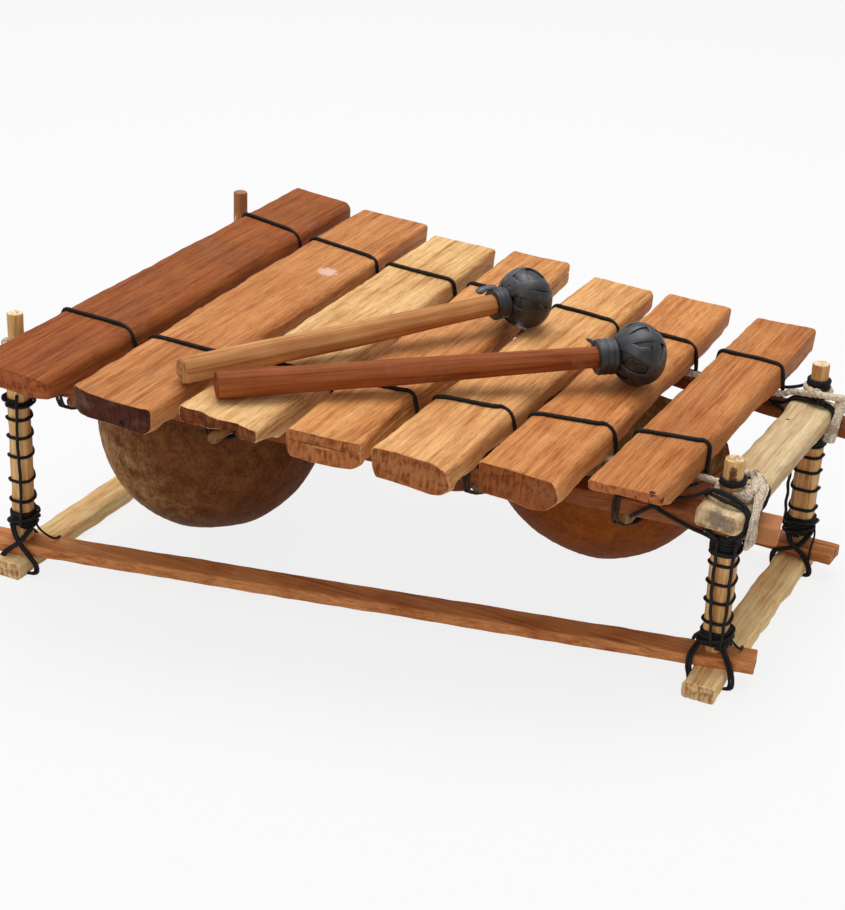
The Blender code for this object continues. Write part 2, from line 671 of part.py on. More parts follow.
def route_y(end, x):
    """Place across the deck of a key rope, a smooth curve through its crossings with the keys."""
    places = [(k[0] + k[1] + k[2] + k[3]) / 4 for k in KEYS]
    across = ROPE_ROUTES[end]
    inward = 1 if end == "front" else -1
    start = Vector((peg_place("front_left", ROPE_LEVEL).x,
                    POSTS["front_left"][1] + PEG_RADIUS["front_left"] + ROPE_OFF))
    if end == "back":
        start.y = POSTS["back_left"][1] - ROPE_HITCH_PLACE
        start.x = sum(crossbar_line("left", start.y)) + ROPE_OFF
    knots = [start.x] + places + [peg_place(end + "_right", ROPE_LEVEL).x]
    values = [start.y, *across, POSTS[end + "_right"][1] + inward * (PEG_RADIUS[end + "_right"] + ROPE_OFF)]
    slopes = [0.0] * len(knots)
    for i in range(1, len(knots) - 1):
        slopes[i] = (values[i + 1] - values[i - 1]) / (knots[i + 1] - knots[i - 1])
    slopes[0] = (values[1] - values[0]) / (knots[1] - knots[0])
    slopes[-1] = (values[-1] - values[-2]) / (knots[-1] - knots[-2])
    x = max(x, start.x)
    i = min(sum(1 for k in knots if k <= x) - 1, len(knots) - 2)
    span = knots[i + 1] - knots[i]
    t = (x - knots[i]) / span
    return (values[i] * (1 + 2 * t) * (1 - t) ** 2 + slopes[i] * span * t * (1 - t) ** 2
            + values[i + 1] * t * t * (3 - 2 * t) + slopes[i + 1] * span * t * t * (t - 1))


def front_rope_start():
    """A turn round the bass peg, from its free end down to where the rope leaves for the keys."""
    left = peg_place("front_left", ROPE_LEVEL)
    step = 4 * ROPE_DIAMETER
    slope = math.atan2(route_y("front", left.x + step) - route_y("front", left.x), step)
    leave = math.pi / 2 + slope
    wound = round_turns(left, PEG_RADIUS["front_left"] + ROPE_OFF, leave + 2 * math.pi, -2 * math.pi,
                        ROPE_LEVEL + ROPE_TURN_PITCH, ROPE_LEVEL, 14)
    return follow_peg("front_left", wound, ROPE_LEVEL)


def back_rope_start():
    """A hitch round the left crossbar, in front of the peg."""
    y = POSTS["back_left"][1] - ROPE_HITCH_PLACE
    x, half = crossbar_line("left", y)
    centre = Vector((x, y, FIT_GAP + CROSSBAR_HEIGHT / 2))
    out, up = half + ROPE_OFF + FIT_GAP, CROSSBAR_HEIGHT / 2 + ROPE_OFF
    ease = ROPE_RADIUS
    turn = [(out, -ease), (out, up - ease), (out - ease, up), (-out + ease, up), (-out, up - ease),
            (-out, -up + ease), (-out + ease, -up), (out - ease, -up), (out, -up + ease), (out, 0.0)]
    along = [0.0]
    for (x0, z0), (x1, z1) in zip(turn, turn[1:]):
        along.append(along[-1] + math.hypot(x1 - x0, z1 - z0))
    return [centre + Vector((x, ROPE_TURN_PITCH * (1 - run / along[-1]), z))
            for (x, z), run in zip(turn, along)]


def rope_path(end):
    """One rope: tied at the bass side, under the keys, a turn on the treble peg, knot and tail."""
    arrival, sense, turns = rope_wrap(end)
    right = peg_place(end + "_right", ROPE_LEVEL)
    level = ROPE_LEVEL + ROPE_LIFT[end]
    path = front_rope_start() if end == "front" else back_rope_start()
    start = path[-1].x + ROPE_DIAMETER
    stop = max(KEYS[-1][1], KEYS[-1][3]) + CORD_DIAMETER
    for i in range(ROUTE_STEPS + 1):
        x = start + (stop - start) * i / ROUTE_STEPS
        path.append(Vector((x, route_y(end, x), ROPE_LEVEL)))
    stop += 2 * ROPE_LIFT[end]
    path.append(Vector((stop, route_y(end, stop), level)))
    wound = round_turns(right, PEG_RADIUS[end + "_right"] + ROPE_OFF, arrival * math.pi / 2,
                        sense * 2 * math.pi * turns, level, level + turns * ROPE_TURN_PITCH, 14)
    path += follow_peg(end + "_right", wound, ROPE_LEVEL)
    aside = CROSSBAR_WIDTH["right"] / 2 + CORD_OFF + KNOT_BESIDE_LASHING
    knot = Vector((right.x + aside, right.y - KNOT_BEFORE_PEG[end], 0.0))
    coil = ROPE_DIAMETER + CORD_TURN_GAP
    entry = math.pi if end == "front" else math.pi / 2
    low = path[-1].z + ROPE_TURN_PITCH / 4
    high = low + KNOT_TURNS * ROPE_TURN_PITCH
    path += round_turns(knot, coil, entry, -sense * 2 * math.pi * KNOT_TURNS, low, high, int(10 * KNOT_TURNS))
    last = path[-1] - knot
    for share, rise in ((0.72, 0.55), (0.25, 0.72), (0.0, 0.35)):
        path.append(knot + Vector((last.x * share, last.y * share, high + rise * ROPE_DIAMETER)))
    for drop in (0.3, 0.6, 0.8, 1.0):
        path.append(knot + Vector((0.0, 0.0, low - drop * ROPE_TAIL)))
    return path


def make_rope(end, deck):
    path = rope_path(end)
    report_gap("support_rope_" + end, path, ROPE_DIAMETER)
    tube("support_rope_" + end, [path], ROPE_DIAMETER, "rope", deck)


def key_edges(number, y):
    """Left and right edges of a key at a place across the deck."""
    front_left, front_right, back_left, back_right, front, back = KEYS[number - 1]
    t = (y - front) / (back - front)
    return front_left + (back_left - front_left) * t, front_right + (back_right - front_right) * t


def key_underside(number, y):
    """Height of a key's underside: flat on the ropes, hollowed in the middle, thinned at some front ends."""
    front, back = KEYS[number - 1][4:]
    t = (y - front) / (back - front)
    rise = 0.0
    away = abs(t - 0.5) / (KEY_ARCH_SHARE / 2)
    if away < 1:
        rise = KEY_ARCH_DEPTH * math.cos(away * math.pi / 2) ** 1.5
    if number in KEY_FRONT_THICKNESS:
        near = max(0.0, 1 - (y - front) / KEY_THINNING_LENGTH)
        rise = max(rise, (KEY_THICKNESS - KEY_FRONT_THICKNESS[number]) * near ** 0.6)
    return KEY_UNDERSIDE + rise


def key_ring(number, y, inset):
    """Section of a key: rounded long top edges, eased bottom ones."""
    left, right = key_edges(number, y)
    left, right = left + inset, right - inset
    low, high = key_underside(number, y) + inset, KEY_TOP - inset
    top, bottom = KEY_TOP_ROUND, min(KEY_BOTTOM_ROUND, (high - low) / 3)
    ring = [(right - bottom, low), (right, low + bottom)]
    for angle in (0, 30, 60, 90):
        a = math.radians(angle)
        ring.append((right - top + top * math.cos(a), high - top + top * math.sin(a)))
    for angle in (90, 120, 150, 180):
        a = math.radians(angle)
        ring.append((left + top + top * math.cos(a), high - top + top * math.sin(a)))
    ring += [(left, low + bottom), (left + bottom, low)]
    front, back = KEYS[number - 1][4:]
    rake = KEY_FRONT_RAKE.get(number, 0.0) * max(0.0, 1 - (y - front) / KEY_THINNING_LENGTH)
    skew = KEY_BACK_SKEW[number - 1] * max(0.0, 1 - (back - y) / (back - front) / KEY_SKEW_SHARE)
    middle = (left + right) / 2
    return [Vector((x, y + rake * (high - z) / (high - low) + skew * (x - middle) / (right - left), z))
            for x, z in ring]


def make_key(number, deck):
    front, back = KEYS[number - 1][4:]
    length = back - front
    places = [(front, KEY_END_ROUND), (front + KEY_END_ROUND, 0.0)]
    if number in KEY_FRONT_THICKNESS or number in KEY_FRONT_RAKE:
        places += [(front + KEY_THINNING_LENGTH * s, 0.0) for s in (0.25, 0.6, 1.0)]
    arch = KEY_ARCH_SHARE / 2
    places += [(front + length * (0.5 + arch * s), 0.0) for s in (-1, -0.7, -0.35, 0, 0.35, 0.7, 1)]
    places += [(back - KEY_END_ROUND, 0.0), (back, KEY_END_ROUND)]
    middle = Vector(((KEYS[number - 1][0] + KEYS[number - 1][1]) / 2, (front + back) / 2, KEY_UNDERSIDE))
    bm = bmesh.new()
    loft(bm, [[point - middle for point in key_ring(number, y, inset)] for y, inset in places])
    key = add_mesh(f"key_{number}", bm, KEY_WOODS[number - 1], deck, smooth=True)
    key.location = middle


def beside_rope(end, x):
    """How far across the deck a cord stands from the rope's centre line to pass it."""
    step = ROPE_DIAMETER
    slope = (route_y(end, x + step) - route_y(end, x - step)) / (2 * step)
    return (ROPE_OFF + CORD_OFF + FIT_GAP) * math.hypot(1.0, slope)


def key_cord_path(end):
    """One cord that holds the keys down: over each key, and round under the rope in each gap."""
    low = ROPE_LEVEL - ROPE_OFF - CORD_OFF - FIT_GAP
    high = KEY_TOP + CORD_OFF
    bend = KEY_TOP_ROUND + CORD_OFF
    diagonal = bend * (1 - math.sqrt(0.5))
    turn_in = CORD_BEND
    across = ROPE_ROUTES[end]
    path = []
    for number in range(1, len(KEYS) + 1):
        middle_y = across[number - 1]
        left, right = key_edges(number, middle_y)
        near, far = max(number - 2, 0), min(number, len(KEYS) - 1)
        slope = (across[far] - across[near]) / (sum(KEYS[far][:4]) - sum(KEYS[near][:4])) * 4
        rise_top = middle_y - slope * (right - left) / 2
        fall_top = middle_y + slope * (right - left) / 2
        rise_y = route_y(end, left) - beside_rope(end, left)
        fall_y = route_y(end, right) + beside_rope(end, right)
        left, low_left = (key_edges(number, y)[0] - CORD_OFF for y in (rise_top, rise_y))
        right, low_right = (key_edges(number, y)[1] + CORD_OFF for y in (fall_top, fall_y))
        path += [
            Vector((low_left - turn_in * 0.3, rise_y + turn_in, low)),
            Vector((low_left, rise_y, low + turn_in)),
            Vector((low_left, rise_y, KEY_UNDERSIDE)),
            Vector((left, rise_top, high - bend)),
            Vector((left + diagonal, rise_top, high - diagonal)),
            Vector((left + bend, rise_top, high)),
            Vector((right - bend, fall_top, high)),
            Vector((right - diagonal, fall_top, high - diagonal)),
            Vector((right, fall_top, high - bend)),
            Vector((low_right, fall_y, KEY_UNDERSIDE)),
            Vector((low_right, fall_y, low + turn_in)),
            Vector((low_right + turn_in * 0.3, fall_y - turn_in, low)),
        ]
    del path[0]
    path[0].z = CROSSBAR_TOP + CORD_OFF
    return path


def make_key_cord(end, deck):
    path = key_cord_path(end)
    report_gap("key_cord_" + end, path, CORD_DIAMETER)
    tube("key_cord_" + end, [path], CORD_DIAMETER, "cord", deck)


def gourd_drop(gourd):
    """Depth of a gourd ball's centre under the deck plane."""
    return GOURD_RIM_DROP + gourd["cut"] * gourd["radius"]


def gourd_y(gourd):
    return rail_y("front", gourd["x"]) + gourd["behind_rail"] + gourd["radius"]


def hanger_line(gourd, share, front_overhang):
    """Ends of a hanger stick: along Y under both upper rails, through the gourd."""
    x = gourd["x"] + share * gourd["radius"]
    ends = []
    for end, way, overhang in (("front", -1, front_overhang), ("back", 1, HANGER_BACK_OVERHANG)):
        heading = rail_heading(end, True)
        reach = (UPPER_RAIL_WIDTH / 2) / heading.x + overhang
        level = -UPPER_RAIL_HEIGHT[end] - FIT_GAP - gourd["stick"]
        ends.append(Vector((x, rail_y(end, x) + way * reach, level)))
    return ends


def rod(bm, start, end, radius, sides):
    """A straight round rod between two points."""
    way = (end - start).normalized()
    turn = Vector((0, 0, 1)).rotation_difference(way).to_matrix()
    loft(bm, [[point + turn @ Vector((*p.xy, 0.0)) for p in circle_ring(radius, 0.0, sides)]
              for point in (start, end)])


def gourd_profile(gourd):
    """Outer then inner outline of a cut gourd, from the rim down and back up, as radius and height."""
    radius = gourd["radius"]
    centre = -gourd_drop(gourd)
    rim = -GOURD_RIM_DROP
    outline = []
    for ball, rows in ((radius, range(GOURD_ROWS + 1)), (radius - GOURD_WALL, range(GOURD_ROWS, -1, -1))):
        top_angle = math.asin((rim - centre) / ball)
        for row in rows:
            angle = top_angle + (-math.pi / 2 - top_angle) * row / GOURD_ROWS
            outline.append((max(ball * math.cos(angle), 0.0), centre + ball * math.sin(angle)))
    return outline


def revolve(bm, outline, segments):
    """Turn an outline round Z. A point on the axis becomes one vertex."""
    rows = []
    for radius, height in outline:
        if radius < 1e-6:
            rows.append([bm.verts.new((0.0, 0.0, height))])
        else:
            rows.append([bm.verts.new(point) for point in circle_ring(radius, height, segments)])
    for row, following in zip(rows, rows[1:] + rows[:1]):
        for i in range(segments):
            j = (i + 1) % segments
            corners = []
            for vert in (row[i % len(row)], row[j % len(row)], following[j % len(following)],
                         following[i % len(following)]):
                if vert not in corners:
                    corners.append(vert)
            if len(corners) > 2:
                bm.faces.new(corners)


def make_gourd(side, deck):
    gourd = GOURDS[side]
    bm = bmesh.new()
    revolve(bm, gourd_profile(gourd), GOURD_SEGMENTS)
    bowl = add_mesh("gourd_" + side, bm, "gourd", deck, smooth=True)
    bowl.location = (gourd["x"], gourd_y(gourd), 0.0)
    bm = bmesh.new()
    for hanger in gourd["hangers"]:
        start, end = hanger_line(gourd, *hanger)
        rod(bm, start, end, gourd["stick"] + FIT_GAP, 12)
    cut(bowl, add_cutter("hanger_bore_" + side, bm, deck))


def make_hangers(deck):
    number = 0
    for gourd in GOURDS.values():
        for hanger in gourd["hangers"]:
            number += 1
            start, end = hanger_line(gourd, *hanger)
            bm = bmesh.new()
            rod(bm, Vector((0, 0, 0)), end - start, gourd["stick"], 12)
            stick = add_mesh(f"hanger_stick_{number}", bm, "pale_wood", deck, smooth=True)
            stick.location = start
            for place in ("front", "back"):
                tie = hanger_tie(start.x, place, gourd["stick"])
                tube(f"hanger_tie_{number}_{place}", [tie], CORD_DIAMETER, "cord", deck)


def hanger_tie(x, end, stick):
    """Cord slanted round an upper rail and the hanger stick under it, one loop with its ends apart."""
    rail_way = rail_heading(end, True)
    centre = Vector((x, rail_y(end, x), 0.0))
    low = -UPPER_RAIL_HEIGHT[end] - 2 * FIT_GAP - 2 * stick - CORD_OFF
    across = Vector((0.0, (UPPER_RAIL_WIDTH / 2 + CORD_OFF) / rail_way.x, 0.0))
    along = rail_way * (stick + CORD_OFF)
    ease = CORD_BEND
    loop = []
    for way, level, inward in ((-1, CORD_OFF, -1), (1, CORD_OFF, -1), (1, low, 1), (-1, low, 1)):
        corner = centre + (across + along) * way + Vector((0, 0, level))
        upright = corner + Vector((0, 0, inward * ease))
        level_point = corner - (across + along).normalized() * way * ease
        loop += [upright, level_point] if way * inward > 0 else [level_point, upright]
    ends_apart = (across + along).normalized() * (CORD_DIAMETER + CORD_TURN_GAP)
    middle = centre + Vector((0, 0, CORD_OFF))
    return [middle + ends_apart * 0.6] + loop[2:] + loop[:2] + [middle - ends_apart * 0.6]


def rest_height(x, y, radius):
    """How high over the deck a ball's centre rests on the keys, also where it lies in a gap between two."""
    reach = radius + KEY_TOP_ROUND + FIT_GAP
    heights = []
    for number in range(1, len(KEYS) + 1):
        left, right = key_edges(number, y)
        aside = max(left + KEY_TOP_ROUND - x, x - right + KEY_TOP_ROUND, 0.0)
        if aside < reach:
            heights.append(math.sqrt(reach ** 2 - aside ** 2) - KEY_TOP_ROUND)
    return KEY_TOP + max(heights)


def mallet_frame(number, deck):
    """An empty at the butt's middle, its X axis along the stick, so that stick and head rest on the keys."""
    mallet, heading = MALLETS[number], MALLET_HEADINGS[number]
    butt_x, butt_y = mallet["butt"]
    reach, rest = mallet["reach"], mallet["rest"]
    head_height = rest_height(butt_x + reach * math.cos(heading), butt_y + reach * math.sin(heading),
                              HEAD_RADIUS)
    rest_radius = mallet_half_width(rest / (reach - HEAD_LENGTH / 2))
    stick_height = KEY_TOP + FIT_GAP + rest_radius
    pitch = math.asin((head_height - stick_height) / (reach - rest))
    empty = bpy.data.objects.new(f"mallet_{number}", None)
    bpy.context.scene.collection.objects.link(empty)
    empty.parent = deck
    empty.location = (butt_x, butt_y, stick_height - rest * math.sin(pitch))
    empty.rotation_euler = (0.0, -pitch, heading)
    return empty


def mallet_half_width(share):
    """Half the width across a whittled stick's flats, from butt to neck, with a slight swell."""
    return (STICK_BUTT_RADIUS + (STICK_NECK_RADIUS - STICK_BUTT_RADIUS) * share
            + 0.0004 * math.sin(math.pi * share))


def make_mallet(number, deck):
    frame = mallet_frame(number, deck)
    head_start = MALLETS[number]["reach"] - HEAD_LENGTH / 2
    turn = Matrix.Rotation(math.pi / 2, 3, "Y")

    def ring(place, radius, sides):
        return [turn @ Vector((*p.xy, 0.0)) + Vector((place, 0.0, 0.0))
                for p in circle_ring(radius, 0.0, sides)]

    stick_end = head_start + STICK_SOCKET
    places = [0.0, 0.0015] + [head_start * s for s in (0.25, 0.5, 0.75, 1.0)] + [stick_end]
    to_corner = 1 / math.cos(math.pi / STICK_FACETS)
    rings = [ring(p, mallet_half_width(min(p / head_start, 1.0)) * to_corner, STICK_FACETS) for p in places]
    rings[0] = ring(0.0, (STICK_BUTT_RADIUS - 0.0015) * to_corner, STICK_FACETS)
    bm = bmesh.new()
    loft(bm, rings)
    add_mesh(f"mallet_stick_{number}", bm, "stick_wood", frame)

    bore = STICK_NECK_RADIUS * to_corner + FIT_GAP
    outline = [(HEAD_RADIUS * share, head_start + HEAD_LENGTH * place) for place, share in HEAD_SHAPE]
    outline.append((0.0, head_start + HEAD_LENGTH))
    outline += [(0.0, stick_end + FIT_GAP), (bore, stick_end + FIT_GAP), (bore, head_start)]
    bm = bmesh.new()
    revolve(bm, outline, 24)
    bmesh.ops.rotate(bm, verts=bm.verts, cent=(0, 0, 0), matrix=turn)
    add_mesh(f"mallet_head_{number}", bm, "rubber", frame, smooth=True)

    binding_end = head_start - FIT_GAP
    binding_start = binding_end - BINDING_LENGTH
    inner = mallet_half_width(binding_start / head_start) * to_corner + FIT_GAP
    outer = inner + BINDING_THICKNESS
    outline = [(inner, binding_start), (outer - 0.0008, binding_start), (outer, binding_start + 0.0012),
               (outer, binding_end), (inner, binding_end)]
    bm = bmesh.new()
    revolve(bm, outline, 20)
    bmesh.ops.rotate(bm, verts=bm.verts, cent=(0, 0, 0), matrix=turn)
    add_mesh(f"mallet_binding_{number}", bm, "rubber", frame, smooth=True)


def main():
    clear_scene()
    deck = bpy.data.objects.new("deck", None)
    bpy.context.scene.collection.objects.link(deck)
    deck.location = (0.0, 0.0, DECK_HEIGHT)
    deck.rotation_euler = (0.0, DECK_SLOPE, 0.0)

    cutters = {}
    for corner in CORNERS:
        x = POSTS[corner][0]
        cutters["tenon_" + corner] = vertical_cutter(
            "tenon_hole_" + corner, [POSTS[corner]], TENON_RADIUS + FIT_GAP,
            SLEEPER_HEIGHT - TENON_IN_SLEEPER - FIT_GAP, LOWER_RAIL_TOP + POST_TAPER_HEIGHT)
        cutters["peg_" + corner] = vertical_cutter(
            "peg_hole_" + corner, [POSTS[corner]], PEG_RADIUS[corner] + FIT_GAP,
            deck_z(x, -2 * UPPER_RAIL_HEIGHT["front"]), deck_z(x, PEG_RISE))

    for side in ("left", "right"):
        make_sleeper(side, cutters)
        make_crossbar(side, deck, cutters)
    for end in ("front", "back"):
        make_lower_rail(end, cutters)
        make_upper_rail(end, deck, cutters)
        make_rope(end, deck)
        make_key_cord(end, deck)
    for corner in CORNERS:
        make_post(corner)
        make_post_lashing(corner)
        make_bar_lashing(corner, deck)
        if side_of(corner) == "right":
            make_peg_band(corner, deck)
    for side in GOURDS:
        make_gourd(side, deck)
    make_hangers(deck)
    for number in range(1, len(KEYS) + 1):
        make_key(number, deck)
    for number in MALLETS:
        make_mallet(number, deck)


main()
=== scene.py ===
import math

import bpy
import numpy as np
from mathutils import Matrix, Vector


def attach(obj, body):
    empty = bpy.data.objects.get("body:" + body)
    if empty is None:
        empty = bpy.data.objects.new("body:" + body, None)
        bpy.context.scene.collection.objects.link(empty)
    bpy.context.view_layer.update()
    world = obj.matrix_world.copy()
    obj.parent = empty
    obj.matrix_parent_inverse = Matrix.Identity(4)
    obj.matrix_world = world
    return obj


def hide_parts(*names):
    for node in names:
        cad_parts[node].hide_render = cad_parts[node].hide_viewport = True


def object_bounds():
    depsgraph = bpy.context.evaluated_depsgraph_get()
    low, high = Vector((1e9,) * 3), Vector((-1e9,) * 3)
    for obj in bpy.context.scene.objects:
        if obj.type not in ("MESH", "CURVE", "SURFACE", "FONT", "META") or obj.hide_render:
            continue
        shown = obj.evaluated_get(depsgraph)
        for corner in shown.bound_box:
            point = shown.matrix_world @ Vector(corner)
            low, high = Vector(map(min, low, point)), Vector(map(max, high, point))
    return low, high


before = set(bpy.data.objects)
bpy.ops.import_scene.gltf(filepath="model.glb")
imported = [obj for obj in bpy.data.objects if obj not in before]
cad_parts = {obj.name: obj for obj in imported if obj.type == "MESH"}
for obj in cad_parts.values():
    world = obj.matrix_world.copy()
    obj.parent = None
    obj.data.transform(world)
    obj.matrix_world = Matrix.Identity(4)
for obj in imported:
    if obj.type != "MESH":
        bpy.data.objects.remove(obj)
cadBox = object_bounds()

# the sloping plane of the upper rails' tops, and levels above it
deck = {"tilt": math.atan(0.065), "height": 0.1285, "barTop": 0.0102, "ropeLevel": 0.0128,
        "keyUnder": 0.0154, "keyTop": 0.0334}
cordSize, ropeSize, fitGap = 0.0026, 0.0046, 0.0003


# deck places to the part's: x' = x cos a + z sin a, z' = h - x sin a + z cos a
def fromDeck(points):
    points = np.asarray(points, dtype=float)
    s, c = math.sin(deck["tilt"]), math.cos(deck["tilt"])
    x, y, z = np.moveaxis(points, -1, 0)
    return np.stack([x * c + z * s, y, deck["height"] - x * s + z * c], axis=-1)


# noise of about -1 to 1: the sum of ten sines along random directions, each wave about `size` long
def waves(points, size, seed, stretch=(1.0, 1.0, 1.0)):
    rng = np.random.default_rng(seed)
    ways = rng.normal(size=(10, 3))
    ways *= (2 * math.pi / size * rng.uniform(0.6, 1.5, 10) / np.linalg.norm(ways, axis=1))[:, None]
    return np.sin((np.asarray(points) / stretch) @ ways.T + rng.uniform(0, 2 * math.pi, 10)).sum(-1) / 4


# noise along one line, for the edges of planks and facets
def sway(along, size, seed):
    return waves(np.stack([along, np.zeros_like(along), np.zeros_like(along)], -1), size, seed)


def smoothStep(x, low, high):
    t = np.clip((x - low) / (high - low), 0, 1)
    return t * t * (3 - 2 * t)


def unit(v):
    return v / np.maximum(np.linalg.norm(v, axis=-1, keepdims=True), 1e-12)


# grids of points, joined into one mesh of closed skins
class Shape:
    def __init__(self):
        self.points, self.corners, self.sizes, self.uvs, self.marks, self.total = [], [], [], [], [], 0

    # a tube-like grid: rows along it, columns round it, its two ends closed by flat faces
    def skin(self, grid, mark=0.0):
        n, m = grid.shape[:2]
        flat = grid.reshape(-1, 3)
        index = np.arange(n * m).reshape(n, m)
        beside = np.roll(index, -1, axis=1)
        quads = np.stack([index[:-1], beside[:-1], beside[1:], index[1:]], -1).reshape(-1, 4)
        caps = [index[0][::-1], index[-1]]
        a, b, c, d = (flat[quads[:, k]] for k in range(4))
        volume = (np.cross(a, b) * c).sum() + (np.cross(a, c) * d).sum()
        for cap in caps:
            p, q = flat[cap[1:-1]], flat[cap[2:]]
            volume += (np.cross(flat[cap[0]], p) * q).sum()
        steps = np.linalg.norm(np.diff(grid.mean(1), axis=0), axis=1)
        along = np.concatenate([[0.0], np.cumsum(steps)])
        u = np.repeat(along[:, None], m + 1, 1)
        v = np.repeat(np.arange(m + 1)[None] / m, n, 0)
        uv = np.stack([np.stack([g[:-1, :-1], g[:-1, 1:], g[1:, 1:], g[1:, :-1]], -1) for g in (u, v)], -1)
        uv = uv.reshape(-1, 4, 2)
        if volume < 0:
            quads, uv, caps = quads[:, ::-1], uv[:, ::-1], [cap[::-1] for cap in caps]
        self.points.append(flat)
        self.marks.append(np.broadcast_to(np.asarray(mark, float), (n, m)).reshape(-1))
        self.corners += [(quads + self.total).reshape(-1)] + [cap + self.total for cap in caps]
        self.sizes += [np.full(len(quads), 4)] + [np.array([m]), np.array([m])]
        self.uvs += [uv.reshape(-1, 2), np.zeros((2 * m, 2))]
        self.total += n * m

    # the mesh as an object that rides on a body and stands for CAD nodes
    def make(self, name, material, body, slot, *nodes):
        points, corners, sizes = (np.concatenate(a) for a in (self.points, self.corners, self.sizes))
        mesh = bpy.data.meshes.new(name)
        mesh.vertices.add(len(points))
        mesh.vertices.foreach_set("co", points.astype(np.float32).reshape(-1))
        mesh.loops.add(len(corners))
        mesh.loops.foreach_set("vertex_index", corners.astype(np.int32))
        mesh.polygons.add(len(sizes))
        mesh.polygons.foreach_set("loop_start", np.concatenate([[0], np.cumsum(sizes)[:-1]]).astype(np.int32))
        mesh.polygons.foreach_set("use_smooth", sizes == 4)
        layer = mesh.uv_layers.new(name="run")
        layer.uv.foreach_set("vector", np.concatenate(self.uvs).astype(np.float32).reshape(-1))
        marks = mesh.attributes.new("mark", "FLOAT", "POINT")
        marks.data.foreach_set("value", np.concatenate(self.marks).astype(np.float32))
        mesh.update(calc_edges=True)
        mesh.validate()
        mesh.materials.append(material)
        thing = bpy.data.objects.new(name, mesh)
        bpy.context.scene.collection.objects.link(thing)
        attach(thing, body)
        if nodes:
            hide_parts(*nodes)
        return thing


# outward directions of a closed grid: the cross product of its two steps, turned away from its middle line
def outward(grid):
    along = np.gradient(grid, axis=0)
    around = np.roll(grid, -1, axis=1) - np.roll(grid, 1, axis=1)
    normal = unit(np.cross(along, around))
    away = grid - grid.mean(1, keepdims=True)
    return normal * np.where((normal * away).sum(-1).mean() < 0, -1.0, 1.0)


# sections of a plank from its four faces at each station, joined by quarter circles of its four corner radii
def plankSections(left, right, low, high, radii, counts=(5, 22, 5, 18), arc=6):
    corners = ((right, low, 1, -1), (right, high, 1, 1), (left, high, -1, 1), (left, low, -1, -1))
    arcs = []
    for k, ((x, z, sx, sz), r) in enumerate(zip(corners, radii)):
        angles = np.radians(np.linspace(-90, 0, arc) + 90 * k)
        r = np.broadcast_to(r, left.shape)
        arcs.append(np.stack([(x - sx * r)[:, None] + r[:, None] * np.cos(angles),
                              (z - sz * r)[:, None] + r[:, None] * np.sin(angles)], -1))
    rows = []
    for k, count in enumerate(counts):
        a, b = arcs[k][:, -1:], arcs[(k + 1) % 4][:, :1]
        shares = (np.arange(1, count + 1) / (count + 1))[None, :, None]
        rows += [arcs[k], a + (b - a) * shares]
    return np.concatenate(rows, axis=1)


# round off both ends of a grid along `way` and fill them with rings: inset e(1 - cos a), advance e sin a.
# The marks are 0 on the sides and 1 on the end faces
def withEnds(grid, way, ease, rings=5):
    way = np.asarray(way, float)
    parts, marks = [grid], [np.zeros(grid.shape[:2])]
    for end, sign in ((0, -1), (-1, 1)):
        ring = grid[end]
        middle = ring.mean(0)
        toMiddle = unit((middle - ring) - ((middle - ring) @ way)[:, None] * way)
        angles = np.radians([30.0, 60.0, 90.0])[:, None, None]
        rounded = ring + toMiddle * ease * (1 - np.cos(angles)) + way * sign * ease * np.sin(angles)
        last = rounded[-1]
        shares = np.linspace(0, 0.97, rings + 1)[1:, None, None]
        centre = last.mean(0)
        face = last + (centre - last) * shares
        extra = np.concatenate([rounded, face])
        mark = np.concatenate([np.full((2, grid.shape[1]), 0.3), np.ones((1 + rings, grid.shape[1]))])
        if end == 0:
            parts.insert(0, extra[::-1])
            marks.insert(0, mark[::-1])
        else:
            parts.append(extra)
            marks.append(mark)
    return np.concatenate(parts), np.concatenate(marks)


# a path with its corners cut twice at a quarter and three quarters of each stretch, its ends kept
def smoothPath(route, rounds=2):
    path = np.asarray([tuple(p) for p in route], dtype=float)
    for _ in range(rounds):
        a, b = path[:-1], path[1:]
        cut = np.stack([a * 0.75 + b * 0.25, a * 0.25 + b * 0.75], 1).reshape(-1, 3)
        path = np.concatenate([path[:1], cut, path[-1:]])
    return path


# the same path with points a fixed step apart
def evenPath(path, step):
    along = np.concatenate([[0.0], np.cumsum(np.linalg.norm(np.diff(path, axis=0), axis=1))])
    places = np.linspace(0, along[-1], max(3, int(along[-1] / step) + 1))
    return np.stack([np.interp(places, along, path[:, k]) for k in range(3)], -1), places


# directions across a path that don't turn about it: each is the last one made square to the new run
def pathFrames(path):
    along = unit(np.gradient(path, axis=0))
    side = np.cross(along[0], (0.0, 0.0, 1.0) if abs(along[0][2]) < 0.9 else (1.0, 0.0, 0.0))
    sides = []
    for way in along:
        side = side - (side @ way) * way
        side = side / np.linalg.norm(side)
        sides.append(side)
    sides = np.array(sides)
    return along, sides, np.cross(along, sides)


